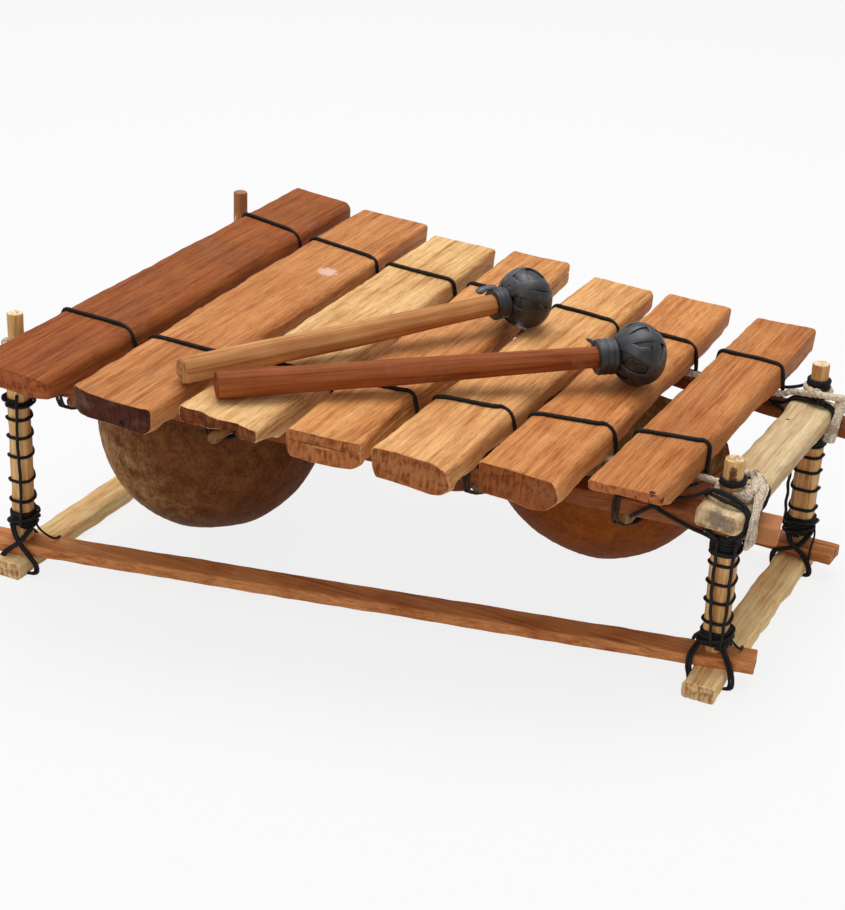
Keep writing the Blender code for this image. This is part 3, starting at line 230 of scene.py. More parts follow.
# twisted cord: radius R (1 - g (1 - |cos(s/2 (angle - 2 pi along / lay))|)) for s strands, closed at its ends
def twistedCord(shape, route, size, lay=0.0062, strands=3, groove=0.22, sides=12, step=0.0007, seed=0, rounds=2):
    path, along = evenPath(smoothPath(route, rounds), step)
    _, side, up = pathFrames(path)
    angle = np.arange(sides) / sides * 2 * math.pi
    turned = angle[None] - 2 * math.pi * along[:, None] / lay
    radius = size / 2 * (1 - groove * (1 - np.abs(np.cos(strands / 2 * turned))))
    radius *= 1 + 0.05 * sway(along, 0.006, seed)[:, None]
    ends = np.minimum(along, along[-1] - along) / (size * 0.4)
    radius *= np.sqrt(np.clip(1 - (1 - np.clip(ends, 0, 1)) ** 2, 0.01, 1))[:, None]
    grid = path[:, None] + radius[..., None] * (np.cos(angle)[None, :, None] * side[:, None]
                                                + np.sin(angle)[None, :, None] * up[:, None])
    shape.skin(grid, 0.0)


# a coil round an axis that follows a line: angle and level advance together
def coil(centre, radius, start, sweep, low, high, count, lean=0.0):
    share = np.linspace(0, 1, count + 1)
    angle, level = start + sweep * share, low + (high - low) * share
    return np.stack([centre[0] + radius * np.cos(angle) + lean * (level - low),
                     centre[1] + radius * np.sin(angle), level], -1)


# a flat soft band: an ellipse of the given widths and depth swept along the path
def softBand(shape, route, widths, depth, across, seed):
    path, along = evenPath(smoothPath(route, 3), 0.0007)
    run = unit(np.gradient(path, axis=0))
    across = unit(np.asarray(across, float))
    side = unit(across - (run @ across)[:, None] * run)
    up = np.cross(run, side)
    width = np.interp(np.linspace(0, 1, len(path)), np.linspace(0, 1, len(widths)), widths)
    ends = np.sqrt(np.clip(np.minimum(along, along[-1] - along) / 0.0012, 0.02, 1))
    angle = np.arange(28) / 28 * 2 * math.pi
    ridge = 1 + 0.10 * np.sin(9 * angle + 0.7 * sway(along, 0.02, seed)[:, None])
    grid = (path[:, None] + side[:, None] * (width * ends / 2)[:, None, None] * (np.cos(angle) * ridge)[..., None]
            + up[:, None] * (depth / 2 * ends)[:, None, None] * (np.sin(angle) * ridge)[..., None])
    shape.skin(grid, 0.0)


# a shader socket that takes part in plain sums, so that maths reads as maths
class Sock:
    def __init__(self, finish, link):
        self.finish, self.link = finish, link

    def sum(self, operation, *values):
        return self.finish.node("ShaderNodeMath", {"operation": operation}, values)

    def __add__(self, other):
        return self.sum("ADD", self, other)

    def __radd__(self, other):
        return self.sum("ADD", other, self)

    def __sub__(self, other):
        return self.sum("SUBTRACT", self, other)

    def __rsub__(self, other):
        return self.sum("SUBTRACT", other, self)

    def __mul__(self, other):
        return self.sum("MULTIPLY", self, other)

    def __rmul__(self, other):
        return self.sum("MULTIPLY", other, self)

    def __truediv__(self, other):
        return self.sum("DIVIDE", self, other)

    def __pow__(self, other):
        return self.sum("POWER", self, other)


# one material and its nodes
class Finish:
    def __init__(self, name, roughness):
        self.material = bpy.data.materials.new(name)
        self.material.use_nodes = True
        self.tree = self.material.node_tree
        self.shader = self.tree.nodes["Principled BSDF"]
        self.shader.inputs["Roughness"].default_value = roughness
        coordinates = self.tree.nodes.new("ShaderNodeTexCoord")
        self.place = Sock(self, coordinates.outputs["Object"])
        self.uv = Sock(self, coordinates.outputs["UV"])

    # any other node: its type, its settings, then the values or links of its sockets by place or name
    def node(self, kind, settings=None, values=(), output=0):
        made = self.tree.nodes.new(kind)
        for key, setting in (settings or {}).items():
            if key == "stops":
                ramp = made.color_ramp.elements
                while len(ramp) < len(setting):
                    ramp.new(0.5)
                for element, (position, colour) in zip(ramp, setting):
                    element.position = position
                    element.color = (*colour, 1.0) if not isinstance(colour, float) else (colour, colour, colour, 1.0)
            else:
                setattr(made, key, setting)
        items = values.items() if isinstance(values, dict) else enumerate(values)
        for key, value in items:
            if isinstance(value, Sock):
                self.tree.links.new(value.link, made.inputs[key])
            elif value is not None:
                made.inputs[key].default_value = value
        return Sock(self, made.outputs[output])

    def noise(self, vector, scale, detail=3.0, roughness=0.5, distortion=0.0):
        return self.node("ShaderNodeTexNoise", None, {"Vector": vector, "Scale": scale, "Detail": detail,
                                                      "Roughness": roughness, "Distortion": distortion})

    # the vector turned, moved and stretched
    def mapped(self, vector, scale=(1.0, 1.0, 1.0), offset=(0.0, 0.0, 0.0), turn=(0.0, 0.0, 0.0)):
        return self.node("ShaderNodeMapping", None, {"Vector": vector, "Location": offset, "Rotation": turn, "Scale": scale})

    def ramp(self, value, *stops):
        return self.node("ShaderNodeValToRGB", {"stops": stops}, (value,))

    # 0 below low, 1 above high, smooth between
    def band(self, value, low, high):
        return self.node("ShaderNodeMapRange", {"interpolation_type": "SMOOTHSTEP"}, (value, low, high, 0.0, 1.0))

    # colour a where the mask is 0, colour b where it is 1
    def mix(self, mask, a, b, blend="MIX"):
        made = self.tree.nodes.new("ShaderNodeMix")
        made.data_type, made.blend_type = "RGBA", blend
        for key, value in (("Factor", mask), ("A", a), ("B", b)):
            socket = [s for s in made.inputs if s.name == key and s.enabled][0]
            if isinstance(value, Sock):
                self.tree.links.new(value.link, socket)
            else:
                socket.default_value = value if key == "Factor" else (*value, 1.0)
        return Sock(self, [s for s in made.outputs if s.enabled][0])

    def bump(self, height, strength, distance=0.001, normal=None):
        values = {"Strength": strength, "Distance": distance, "Height": height}
        if normal is not None:
            values["Normal"] = normal
        return self.node("ShaderNodeBump", None, values)

    def set(self, **links):
        names = {"colour": "Base Color", "roughness": "Roughness", "normal": "Normal"}
        for key, value in links.items():
            self.tree.links.new(value.link, self.shader.inputs[names[key]])
        return self.material



# keys: edges at the front and back ends, the two ends, how far the right back corner stands past the left,
# corner radii (lower right, upper right, upper left, lower left), thickness at the front end, and how far the
# front face's upper and lower edges stand back, as (share across, distance)
keyLooks = (
    {"front": (-0.2085, -0.1575), "back": (-0.2040, -0.1560), "ends": (-0.1953, 0.1938), "skew": -0.0030, "flare": 0.0016,
     "radii": (0.0035, 0.0058, 0.0020, 0.0030), "thin": 0.0155, "rough": 0.0003,
     "upper": ((0, 0.0012), (0.5, 0.0006), (0.94, 0.0004), (1, 0.0030)),
     "lower": ((0, 0.0062), (0.35, 0.0050), (0.8, 0.0052), (1, 0.0095))},
    {"front": (-0.1420, -0.0875), "back": (-0.1455, -0.0925), "ends": (-0.1890, 0.1900), "skew": 0.0030, "wider": 0.0008, "flare": 0.0016,
     "radii": (0.0070, 0.0032, 0.0030, 0.0075), "thin": 0.0180, "rough": 0.0003,
     "upper": ((0, 0.0032), (0.1, 0.0006), (0.24, -0.0016), (0.68, -0.0018), (0.9, -0.0006), (1, 0.0020)),
     "lower": ((0, 0.0050), (0.2, 0.0014), (0.9, 0.0014), (1, 0.0040))},
    {"front": (-0.0785, -0.0255), "back": (-0.0810, -0.0330), "ends": (-0.1735, 0.1780), "skew": 0.0050, "wider": 0.0006, "flare": 0.0026,
     "radii": (0.0022, 0.0022, 0.0022, 0.0022), "thin": 0.0090, "rough": 0.0015,
     "upper": ((0, 0.0022), (0.12, 0.0006), (0.27, 0.0024), (0.5, -0.0004), (0.75, 0.0016), (0.92, -0.0014), (1, 0.0010)),
     "lower": ((0, 0.0020), (0.16, -0.0004), (0.26, 0.0034), (0.36, 0.0004), (0.50, 0.0046), (0.58, 0.0002), (0.70, 0.0050),
               (0.80, 0.0006), (0.90, 0.0028), (1, 0.0010))},
    {"front": (-0.0140, 0.0310), "back": (-0.0230, 0.0200), "ends": (-0.1570, 0.1890), "skew": 0.0060, "wider": 0.0006, "flare": 0.0016,
     "sides": ((), ((0, 0), (0.22, -0.0022), (0.36, 0.0010), (0.52, 0.0056), (0.64, 0.0044), (0.80, 0.0008), (1, 0))), "soft": 1.0,
     "radii": (0.0055, 0.0025, 0.0026, 0.0060), "thin": 0.0180, "rough": 0.0005,
     "upper": ((0, -0.0026), (0.5, 0.0004), (0.95, 0.0036), (1, 0.0060)),
     "lower": ((0, 0.0030), (0.12, -0.0016), (0.4, -0.0012), (0.7, 0.0012), (0.9, 0.0050), (1, 0.0110))},
    {"front": (0.0375, 0.0870), "back": (0.0425, 0.0870), "ends": (-0.1520, 0.1795), "skew": 0.0020, "wider": 0.0004, "flare": 0.0020,
     "sides": ((), ((0, 0), (0.20, -0.0026), (0.42, -0.0010), (0.58, 0.0012), (0.75, 0.0006), (1, 0))), "soft": 1.6,
     "radii": (0.0075, 0.0030, 0.0024, 0.0050), "thin": 0.0180, "rough": 0.0004,
     "upper": ((0, 0.0006), (0.3, 0.0040), (0.75, 0.0040), (0.93, -0.0010), (1, -0.0030)),
     "lower": ((0, 0.0050), (0.1, 0.0006), (0.8, 0.0000), (0.92, 0.0024), (1, 0.0100))},
    {"front": (0.0955, 0.1450), "back": (0.0960, 0.1415), "ends": (-0.1310, 0.1865), "skew": 0.0040, "soft": 1.0,
     "radii": (0.0080, 0.0034, 0.0026, 0.0060), "thin": 0.0180, "rough": 0.0004,
     "upper": ((0, 0.0014), (0.5, 0.0038), (0.9, 0.0026), (1, -0.0026)),
     "lower": ((0, 0.0080), (0.1, -0.0010), (0.45, -0.0004), (0.72, -0.0032), (0.88, 0.0004), (1, 0.0120))},
    {"front": (0.1555, 0.1970), "back": (0.1605, 0.2010), "ends": (-0.1110, 0.1865), "skew": 0.0080,
     "radii": (0.0040, 0.0026, 0.0022, 0.0030), "thin": 0.0078, "rough": 0.0004,
     "upper": ((0, -0.0008), (0.2, -0.0008), (0.75, 0.0038), (1, 0.0050)),
     "lower": ((0, 0.0020), (0.4, 0.0060), (0.9, 0.0080), (1, 0.0200))},
)
keyShape = {"arch": 0.0040, "archShare": 0.46, "thinning": 0.030, "reach": 0.016, "skewShare": 0.25, "ease": 0.0012}


# the x of a key's side at a place along it: a line between its ends plus eased steps between the given offsets
def keyEdge(look, side, y):
    front, back = look["ends"]
    share = np.clip((np.asarray(y) - front) / (back - front), 0, 1)
    x = look["front"][side] + (look["back"][side] - look["front"][side]) * share
    steps = look.get("sides", ((), ()))[side]
    for (a, low), (b, high) in zip(steps, steps[1:]):
        x = x + (high - low) * smoothStep(share, a, b)
    return x


# a key's corner radius there: the lower right one is sharper and the upper right one softer in the middle
def keyRadius(look, corner, y):
    front, back = look["ends"]
    inner = np.sin(math.pi * np.clip((np.asarray(y) - front) / (back - front), 0, 1))
    return look["radii"][corner] * (1 + inner * (-0.65, look.get("soft", 0.3), 0.0, 0.0)[corner])


# one plank of a key between two levels: its edges, ends and hollow as the solid has them, with hewn faces.
# Near the front each point moves back by the edge distances, mixed by its height and fading over `reach`
def keyPlank(look, number, bottom, top, seed, ease):
    front, back = look["ends"]
    y = np.linspace(front + ease, back - ease, 190)
    share = (y - front) / (back - front)
    left, right = keyEdge(look, 0, y), keyEdge(look, 1, y)
    left = left + 0.0004 * sway(y, 0.09, seed) + 0.00025 * sway(y, 0.018, seed + 1)
    right = right + 0.0005 * sway(y, 0.09, seed + 2) + 0.00025 * sway(y, 0.018, seed + 3)
    wider = look.get("wider", 0.0) * np.sin(math.pi * share)
    left = left - wider
    away = np.clip(np.abs(share - 0.5) / (keyShape["archShare"] / 2), 0, 1)
    rise = keyShape["arch"] * np.cos(away * math.pi / 2) ** 1.5
    near = np.clip(1 - (y - front) / keyShape["thinning"], 0, 1)
    rise = np.maximum(rise, (0.018 - look["thin"]) * near ** 0.6)
    low = np.maximum(np.full_like(y, deck["keyUnder"]) + rise, bottom)
    high = np.full_like(y, top)
    radii = [np.minimum(keyRadius(look, k, y) * (1 + 0.3 * sway(y, 0.03, seed + 5 + k)), (high - low) * 0.42)
             for k in range(4)]
    flat = plankSections(left, right, low, high, radii)
    grid = np.stack([flat[..., 0], np.broadcast_to(y[:, None], flat.shape[:2]), flat[..., 1]], -1)
    grid, mark = withEnds(grid, (0, 1, 0), ease, 9)
    middle, width = (left[0] + right[0]) / 2, right[0] - left[0]
    across = np.clip((grid[..., 0] - middle) / width + 0.5, 0, 1)
    height = np.clip((grid[..., 2] - low[0]) / (high[0] - low[0]), 0, 1)
    upper, lower = (np.interp(across, *zip(*look[k])) for k in ("upper", "lower"))
    inner = np.sin(math.pi * np.clip((grid[..., 1] - front) / (back - front), 0, 1)) ** 2
    grid[..., 0] += look.get("flare", 0.0) * inner * np.clip(across * 2 - 1, 0, 1) * (1 - height)
    fade = np.clip(1 - (grid[..., 1] - front) / keyShape["reach"], 0, 1)
    grid[..., 1] += (upper * height + lower * (1 - height)) * fade * fade * (3 - 2 * fade)
    late = np.clip(1 - (back - grid[..., 1]) / (back - front) / keyShape["skewShare"], 0, 1)
    grid[..., 1] += look["skew"] * late * (across - 0.5)
    cut = waves(grid, 0.0045, seed + 20, (1.0, 9.0, 1.0)) * 0.00010 + waves(grid, 0.03, seed + 21, (1, 3, 1)) * 0.00018
    ends = waves(grid, 0.006, seed + 22, (1, 1, 2.5)) * look["rough"] + waves(grid, 0.0018, seed + 23) * look["rough"] * 0.3
    grid += outward(grid) * (cut * (1 - mark) + 0.5 * ends * mark)[..., None]
    worn = np.clip(waves(grid, 0.012, seed + 30) - 0.55, 0, 1) * 0.0012
    edge = np.minimum(across, 1 - across) < 0.03
    grid[..., 2] -= np.where(edge & (height > 0.6), worn, 0)
    grid[..., 1] = np.clip(grid[..., 1], cadBox[0][1], cadBox[1][1])
    return grid, mark


def makeKey(number, look):
    shape = Shape()
    if number == 4:
        r = look["radii"]
        upper = dict(look, lower=look["upper"], radii=(0.0008, r[1], r[2], 0.0008))
        under = dict(look, upper=((0, -0.0002), (0.3, -0.0020), (0.6, -0.0004), (0.95, 0.0036), (1, 0.0070)),
                     front=(look["front"][0] - 0.0012, look["front"][1]), radii=(r[0], 0.0008, 0.0008, r[3]))
        layers = ((upper, 0.0266, deck["keyTop"], 0.0008), (under, deck["keyUnder"], 0.0264, 0.0010))
    else:
        layers = ((look, deck["keyUnder"], deck["keyTop"], keyShape["ease"]),)
    for k, (layer, bottom, top, ease) in enumerate(layers):
        grid, mark = keyPlank(layer, number, bottom, top, 100 * number + 50 * k, ease)
        shape.skin(fromDeck(grid), mark)
    return shape.make(f"keyPlank{number}", keyWoods[number - 1], f"key_{number}", keySlots[number - 1], f"key_{number}")


# straight grained wood: the tones of one base colour over the sum of fine threads, long streaks and a broad
# figure, browner and striped end faces where the mark is 1, and spots of another colour about given places
def plankFinish(name, base, end, along="y", seed=0.0, turn=0.0, rough=0.62, fine=1.0, dirt=0.3,
                dust=(0.30, 0.19, 0.12), cloud=(0.8, 0.7, 0.6), wild=1.0, spots=(), shift=0.0,
                grain=0.055, pore=0.6):
    f = Finish(name, rough)
    f.shader.inputs["Specular IOR Level"].default_value = 0.12
    place = f.mapped(f.place, (1, 1, 1), (seed, seed * 1.7, seed * 0.6), (0.0, 0.0, turn))

    def stretched(share):
        return f.mapped(place, {"x": (share, 1, 1), "y": (1, share, 1), "z": (1, 1, share)}[along])

    def tint(colour, ratio):
        return tuple(min(c * r, 0.95) for c, r in zip(colour, ratio))

    face = f.node("ShaderNodeAttribute", {"attribute_name": "mark"}, (), "Fac")
    figure = f.noise(stretched(0.07), 75.0, 3.0, 0.5, 0.9 * wild)
    streaks = f.noise(stretched(grain * 0.6), 330.0 * fine, 3.0, 0.6, 0.35 * wild)
    threads = f.noise(stretched(grain), 800.0 * fine, 3.0, 0.68)
    pores = f.noise(stretched(grain * 1.4), 1500.0 * fine, 2.0, 0.6)
    value = threads * 0.36 + streaks * 0.38 + figure * 0.26 + shift
    body = f.ramp(value, (0.370, tint(base, (0.58, 0.42, 0.32))), (0.440, tint(base, (0.84, 0.74, 0.64))),
                  (0.500, base), (0.555, tint(base, (1.12, 1.20, 1.24))), (0.635, tint(base, (1.28, 1.48, 1.66))))
    body = f.mix(f.band(pores, 0.57, 0.66) * pore, body, (0.62, 0.50, 0.40), "MULTIPLY")
    patches = f.noise(place, 22.0, 3.0, 0.55)
    body = f.mix(f.band(patches, 0.46, 0.66) * 0.6, body, cloud, "MULTIPLY")
    stripes = f.noise(f.mapped(place, {"x": (0.2, 1.0, 0.3), "y": (1.0, 0.2, 0.3), "z": (1.0, 1.0, 0.2)}[along]),
                      520.0, 3.0, 0.6, 0.5)
    rings = f.noise(f.mapped(place, (0.35, 0.2, 1.0)), 150.0, 2.0, 0.6, 1.2)
    endTone = f.ramp(stripes * 0.65 + rings * 0.35, (0.40, tint(end, (0.55, 0.42, 0.32))), (0.50, end),
                     (0.62, tint(end, (1.22, 1.36, 1.5))))
    body = f.mix(f.band(face, 0.35, 0.75), body, endTone)
    for centre, size, colour, strength in spots:
        away = f.node("ShaderNodeVectorMath", {"operation": "DISTANCE"}, (f.place, centre), "Value")
        ragged = away + (f.noise(f.place, 420.0, 2.0) - 0.5) * size * 1.2
        body = f.mix((1.0 - f.band(ragged, size * 0.55, size)) * strength, body, colour)
    grime = f.noise(place, 60.0, 5.0, 0.65)
    body = f.mix(f.band(grime, 0.54, 0.74) * dirt, body, dust)
    return f.set(colour=body, roughness=f.band(figure, 0.2, 0.8) * 0.14 + (rough - 0.07),
                 normal=f.bump(threads * 0.7 + streaks * 0.5 + stripes * face, 0.55, 0.0005))


# each key: the colour of its faces, of its end grain, and how it differs
keyTones = (
    {"base": (0.305, 0.086, 0.022), "end": (0.32, 0.076, 0.017), "cloud": (0.72, 0.76, 0.85), "dirt": 0.35, "dust": (0.26, 0.13, 0.085)},
    {"base": (0.521, 0.215, 0.073), "end": (0.065, 0.014, 0.006), "cloud": (0.86, 0.76, 0.66), "dirt": 0.25,
     "spots": (((-0.1050, 0.0635, 0.1688), 0.0082, (0.72, 0.52, 0.42), 0.75), ((-0.1046, -0.1895, 0.1546), 0.0030, (0.003, 0.002, 0.002), 1.0))},
    {"base": (0.703, 0.421, 0.185), "end": (0.185, 0.050, 0.012), "cloud": (0.84, 0.72, 0.56), "dirt": 0.3, "dust": (0.34, 0.19, 0.09), "wild": 1.8},
    {"base": (0.616, 0.277, 0.095), "end": (0.39, 0.130, 0.039), "cloud": (0.82, 0.70, 0.58), "dirt": 0.3},
    {"base": (0.684, 0.345, 0.132), "end": (0.34, 0.114, 0.034), "cloud": (0.86, 0.78, 0.68), "dirt": 0.25, "wild": 1.5},
    {"base": (0.580, 0.235, 0.077), "end": (0.245, 0.068, 0.017), "cloud": (0.80, 0.64, 0.48), "dirt": 0.3, "wild": 1.6},
    {"base": (0.498, 0.192, 0.060), "end": (0.40, 0.126, 0.037), "cloud": (0.82, 0.70, 0.60), "dirt": 0.3,
     "spots": (((0.1940, -0.1045, 0.1490), 0.0024, (0.06, 0.014, 0.006), 1.0),)},
)
keySlots = ("key_dark", "key_red", "key_pale", "key_gold", "key_gold", "key_gold", "key_red")
keyWoods = [plankFinish(f"keyWood{i + 1}", seed=0.37 * (i + 1), **tones) for i, tones in enumerate(keyTones)]
for i, look in enumerate(keyLooks):
    makeKey(i + 1, look)
print("keys")


# hewn boards: where the middle of the first end lies, the run's heading (turn about up, fall along the run),
# start and end along it, width, height
boards = {
    "sleeper_left": {"at": (-0.2250, 0.0, 0.0060), "turn": 90.0, "fall": 0.0, "run": (-0.1467, 0.1723), "size": (0.0213, 0.0120),
                     "deck": False, "radius": 0.0030, "rough": 0.0007, "slot": "hewn_wood"},
    "sleeper_right": {"at": (0.22175, 0.0, 0.0060), "turn": 90.0, "fall": 0.0, "run": (-0.0667, 0.1503), "size": (0.0213, 0.0120),
                      "deck": False, "radius": 0.0030, "rough": 0.0009, "slot": "hewn_wood"},
    "lower_rail_front": {"at": (-0.2240, -0.1262, 0.01605), "turn": 11.383, "fall": 0.0, "run": (-0.0260, 0.4794), "size": (0.0200, 0.0075),
                         "deck": False, "radius": 0.0014, "rough": 0.0003, "slot": "rail_wood"},
    "lower_rail_back": {"at": (-0.2260, 0.1543, 0.01605), "turn": -2.805, "fall": 0.0, "run": (-0.0260, 0.4755), "size": (0.0200, 0.0075),
                        "deck": False, "radius": 0.0014, "rough": 0.0003, "slot": "rail_wood"},
}


# a hewn board as a closed grid: sections of plankSections carried along x, its faces swayed, then turned in place
def boardGrid(look, seed, bend=0.0):
    start, end = look["run"]
    width, height = look["size"]
    ease = look.get("ease", 0.0010)
    x = np.linspace(start + ease, end - ease, max(60, int((end - start) / 0.0016)))
    rough = look["rough"]
    faces = [np.full_like(x, side) + rough * (sway(x, 0.05, seed + k) + 0.5 * sway(x, 0.014, seed + 10 + k)) * 0.6
             for k, side in enumerate((-width / 2, width / 2, -height / 2, height / 2))]
    faces = [np.clip(f, -abs(s), abs(s)) if look.get("tight") else f
             for f, s in zip(faces, (width / 2, width / 2, height / 2, height / 2))]
    radii = [look["radius"] * (1 + 0.35 * sway(x, 0.03, seed + 20 + k)) for k in range(4)]
    flat = plankSections(*faces, radii, (3, 12, 3, 12), 5)
    grid = np.stack([np.broadcast_to(x[:, None], flat.shape[:2]), flat[..., 0], flat[..., 1]], -1)
    grid, mark = withEnds(grid, (1, 0, 0), ease, 5)
    cut = waves(grid, 0.005, seed + 31, (9, 1, 1)) * rough * 0.22 + waves(grid, 0.02, seed + 32, (3, 1, 1)) * rough * 0.3
    ends = waves(grid, 0.004, seed + 33) * rough * 0.7
    grid = grid + outward(grid) * (cut * (1 - mark) + ends * mark)[..., None]
    return grid, mark


def turned(grid, look):
    a = math.radians(look["turn"])
    along, up = np.array([math.cos(a), math.sin(a), 0.0]), np.array([0.0, 0.0, 1.0])
    side = np.cross(up, along)
    grid = np.asarray(look["at"]) + grid[..., :1] * along + grid[..., 1:2] * side + grid[..., 2:] * up
    return fromDeck(grid) if look["deck"] else grid


# gourds: ball centre on the deck, radius, rim level, wall, and how far the skin sways
gourdLooks = {
    "left": {"centre": (-0.1375, -0.0275, -0.0478), "radius": 0.0760, "sway": 0.0016, "seed": 3, "long": 1.00},
    "middle": {"centre": (0.0428, -0.0343, -0.0175), "radius": 0.0240, "sway": 0.0004, "seed": 5, "long": 1.00},
    "right": {"centre": (0.1190, 0.0323, -0.0108), "radius": 0.0765, "sway": 0.0015, "seed": 8, "long": 1.00},
}
gourdRim, gourdWall = -0.0060, 0.0045


# a cut gourd as one grid from the outer pole up to the rim and down inside to the inner pole:
# radius = R - sway (1 - noise) at each direction, and the rim dips by a noise of its own
def makeGourd(side, look, material):
    centre, radius = np.array(look["centre"]), look["radius"]
    turn = np.arange(120) / 120 * 2 * math.pi
    ring = np.stack([np.cos(turn), np.sin(turn), np.zeros_like(turn)], -1)
    dip = 0.0010 * (1 - 0.8 * waves(ring * 0.05, 0.05, look["seed"])) + 0.0004 * waves(ring * radius, 0.006, look["seed"] + 1)
    rows, marks = [], []
    for ball, count, inner in ((radius, 80, 0.0), (radius - gourdWall, 50, 1.0)):
        top = np.arcsin(np.clip((gourdRim - dip - centre[2]) / ball, -1, 1))
        share = np.linspace(0, 1, count)
        angle = -math.pi / 2 + 0.012 + (top[None] - 0.0006 / ball + math.pi / 2 - 0.012) * (share[:, None] ** 0.95)
        ways = np.stack([np.cos(angle) * ring[None, :, 0], np.cos(angle) * ring[None, :, 1], np.sin(angle)], -1)
        skin = 1.0 - look["sway"] / ball * (1 - waves(ways * ball, 0.05, look["seed"] + 2)) * 0.5
        fine = 0.00016 * waves(ways * ball, 0.004, look["seed"] + 3) * (1 + 2 * inner)
        grid = centre + ways * (ball * skin + fine)[..., None]
        rows.append(grid if inner == 0 else grid[::-1])
        marks.append(np.full(grid.shape[:2], inner))
    shape = Shape()
    shape.skin(fromDeck(np.concatenate(rows)), np.concatenate(marks))
    shape.make("gourdShell" + side.title(), material, "frame", "gourd_shell", "gourd_" + side)


# mallets: the stick's butt on the part, its heading, rise and reach; seeds of the whittled faces
mallets = {
    1: {"at": (-0.08888, -0.14810, 0.17648), "way": (0.51784, 0.85540, 0.01142), "side": (-0.85446, 0.51653, 0.05554),
        "reach": 0.2485, "seed": 41, "collar": 0.0078, "girth": 0.0032,
        "nubs": ((((-0.0020, 0.0035, 0.0092), (-0.0060, 0.0045, 0.0104), (-0.0115, 0.0052, 0.0100), (-0.0160, 0.0046, 0.0090),
                   (-0.0178, 0.0026, 0.0090)), (0.0050, 0.0050, 0.0042, 0.0056, 0.0040)),)},
    2: {"at": (-0.06272, -0.15220, 0.17497), "way": (0.74261, 0.66972, -0.00214), "side": (-0.66901, 0.74198, 0.04349),
        "reach": 0.2650, "seed": 57, "collar": 0.0104, "girth": 0.0042,
        "nubs": ((((-0.0080, 0.0056, 0.0052), (-0.0120, 0.0064, 0.0082), (-0.0156, 0.0060, 0.0102)), (0.0052, 0.0044, 0.0012)),)},
}
malletShape = {"butt": 0.0086, "neck": 0.0068, "headLength": 0.0350, "headRadius": 0.0208}


# distance to a ring of flat faces, their edges eased: r = (sum of (max(cos(a - a_k), 0) / d_k)^p)^(-1/p)
def faceted(angle, headings, distances, power=22.0):
    lean = np.maximum(np.cos(angle[None, :, None] - headings[None, None, :]), 0.0) / distances[:, None, :]
    return (lean ** power).sum(-1) ** (-1 / power)


def onMallet(number, grid):
    look = mallets[number]
    along, side = np.array(look["way"]), np.array(look["side"])
    return np.array(look["at"]) + grid[..., :1] * along + grid[..., 1:2] * side + grid[..., 2:] * np.cross(along, side)


def makeMalletStick(number, look, material):
    seed, s = look["seed"], malletShape
    length = look["reach"] - s["headLength"] / 2 + 0.0120
    x = np.concatenate([[0.0, 0.0004, 0.0011, 0.0020], np.linspace(0.004, length, 150)])
    share = np.clip(x / (look["reach"] - s["headLength"] / 2), 0, 1)
    half = s["butt"] + (s["neck"] - s["butt"]) * share + 0.0004 * np.sin(math.pi * share)
    half = half * np.interp(x, (0, 0.0004, 0.0011, 0.0020), (0.86, 0.94, 0.985, 1.0))
    headings = np.arange(8) / 8 * 2 * math.pi + 0.2
    distances = half[:, None] * (0.985 - 0.035 * np.stack([1 + sway(x, 0.07, seed + k) for k in range(8)], 1))
    angle = np.arange(64) / 64 * 2 * math.pi
    r = faceted(angle, headings, distances)
    grid = np.stack([np.broadcast_to(x[:, None], r.shape), r * np.cos(angle), r * np.sin(angle)], -1)
    ring = grid[0]
    face = ring[None] * np.array([1, 0, 0]) + (ring * [0, 1, 1])[None] * np.linspace(0.05, 0.9, 7)[:, None, None]
    mark = np.concatenate([np.ones((8, 64)), np.zeros((len(x) - 1, 64))])
    grid = np.concatenate([face, grid])
    shape = Shape()
    shape.skin(onMallet(number, grid), mark)
    shape.make(f"malletHandle{number}", material, f"mallet_{number}", "stick_wood", f"mallet_stick_{number}")


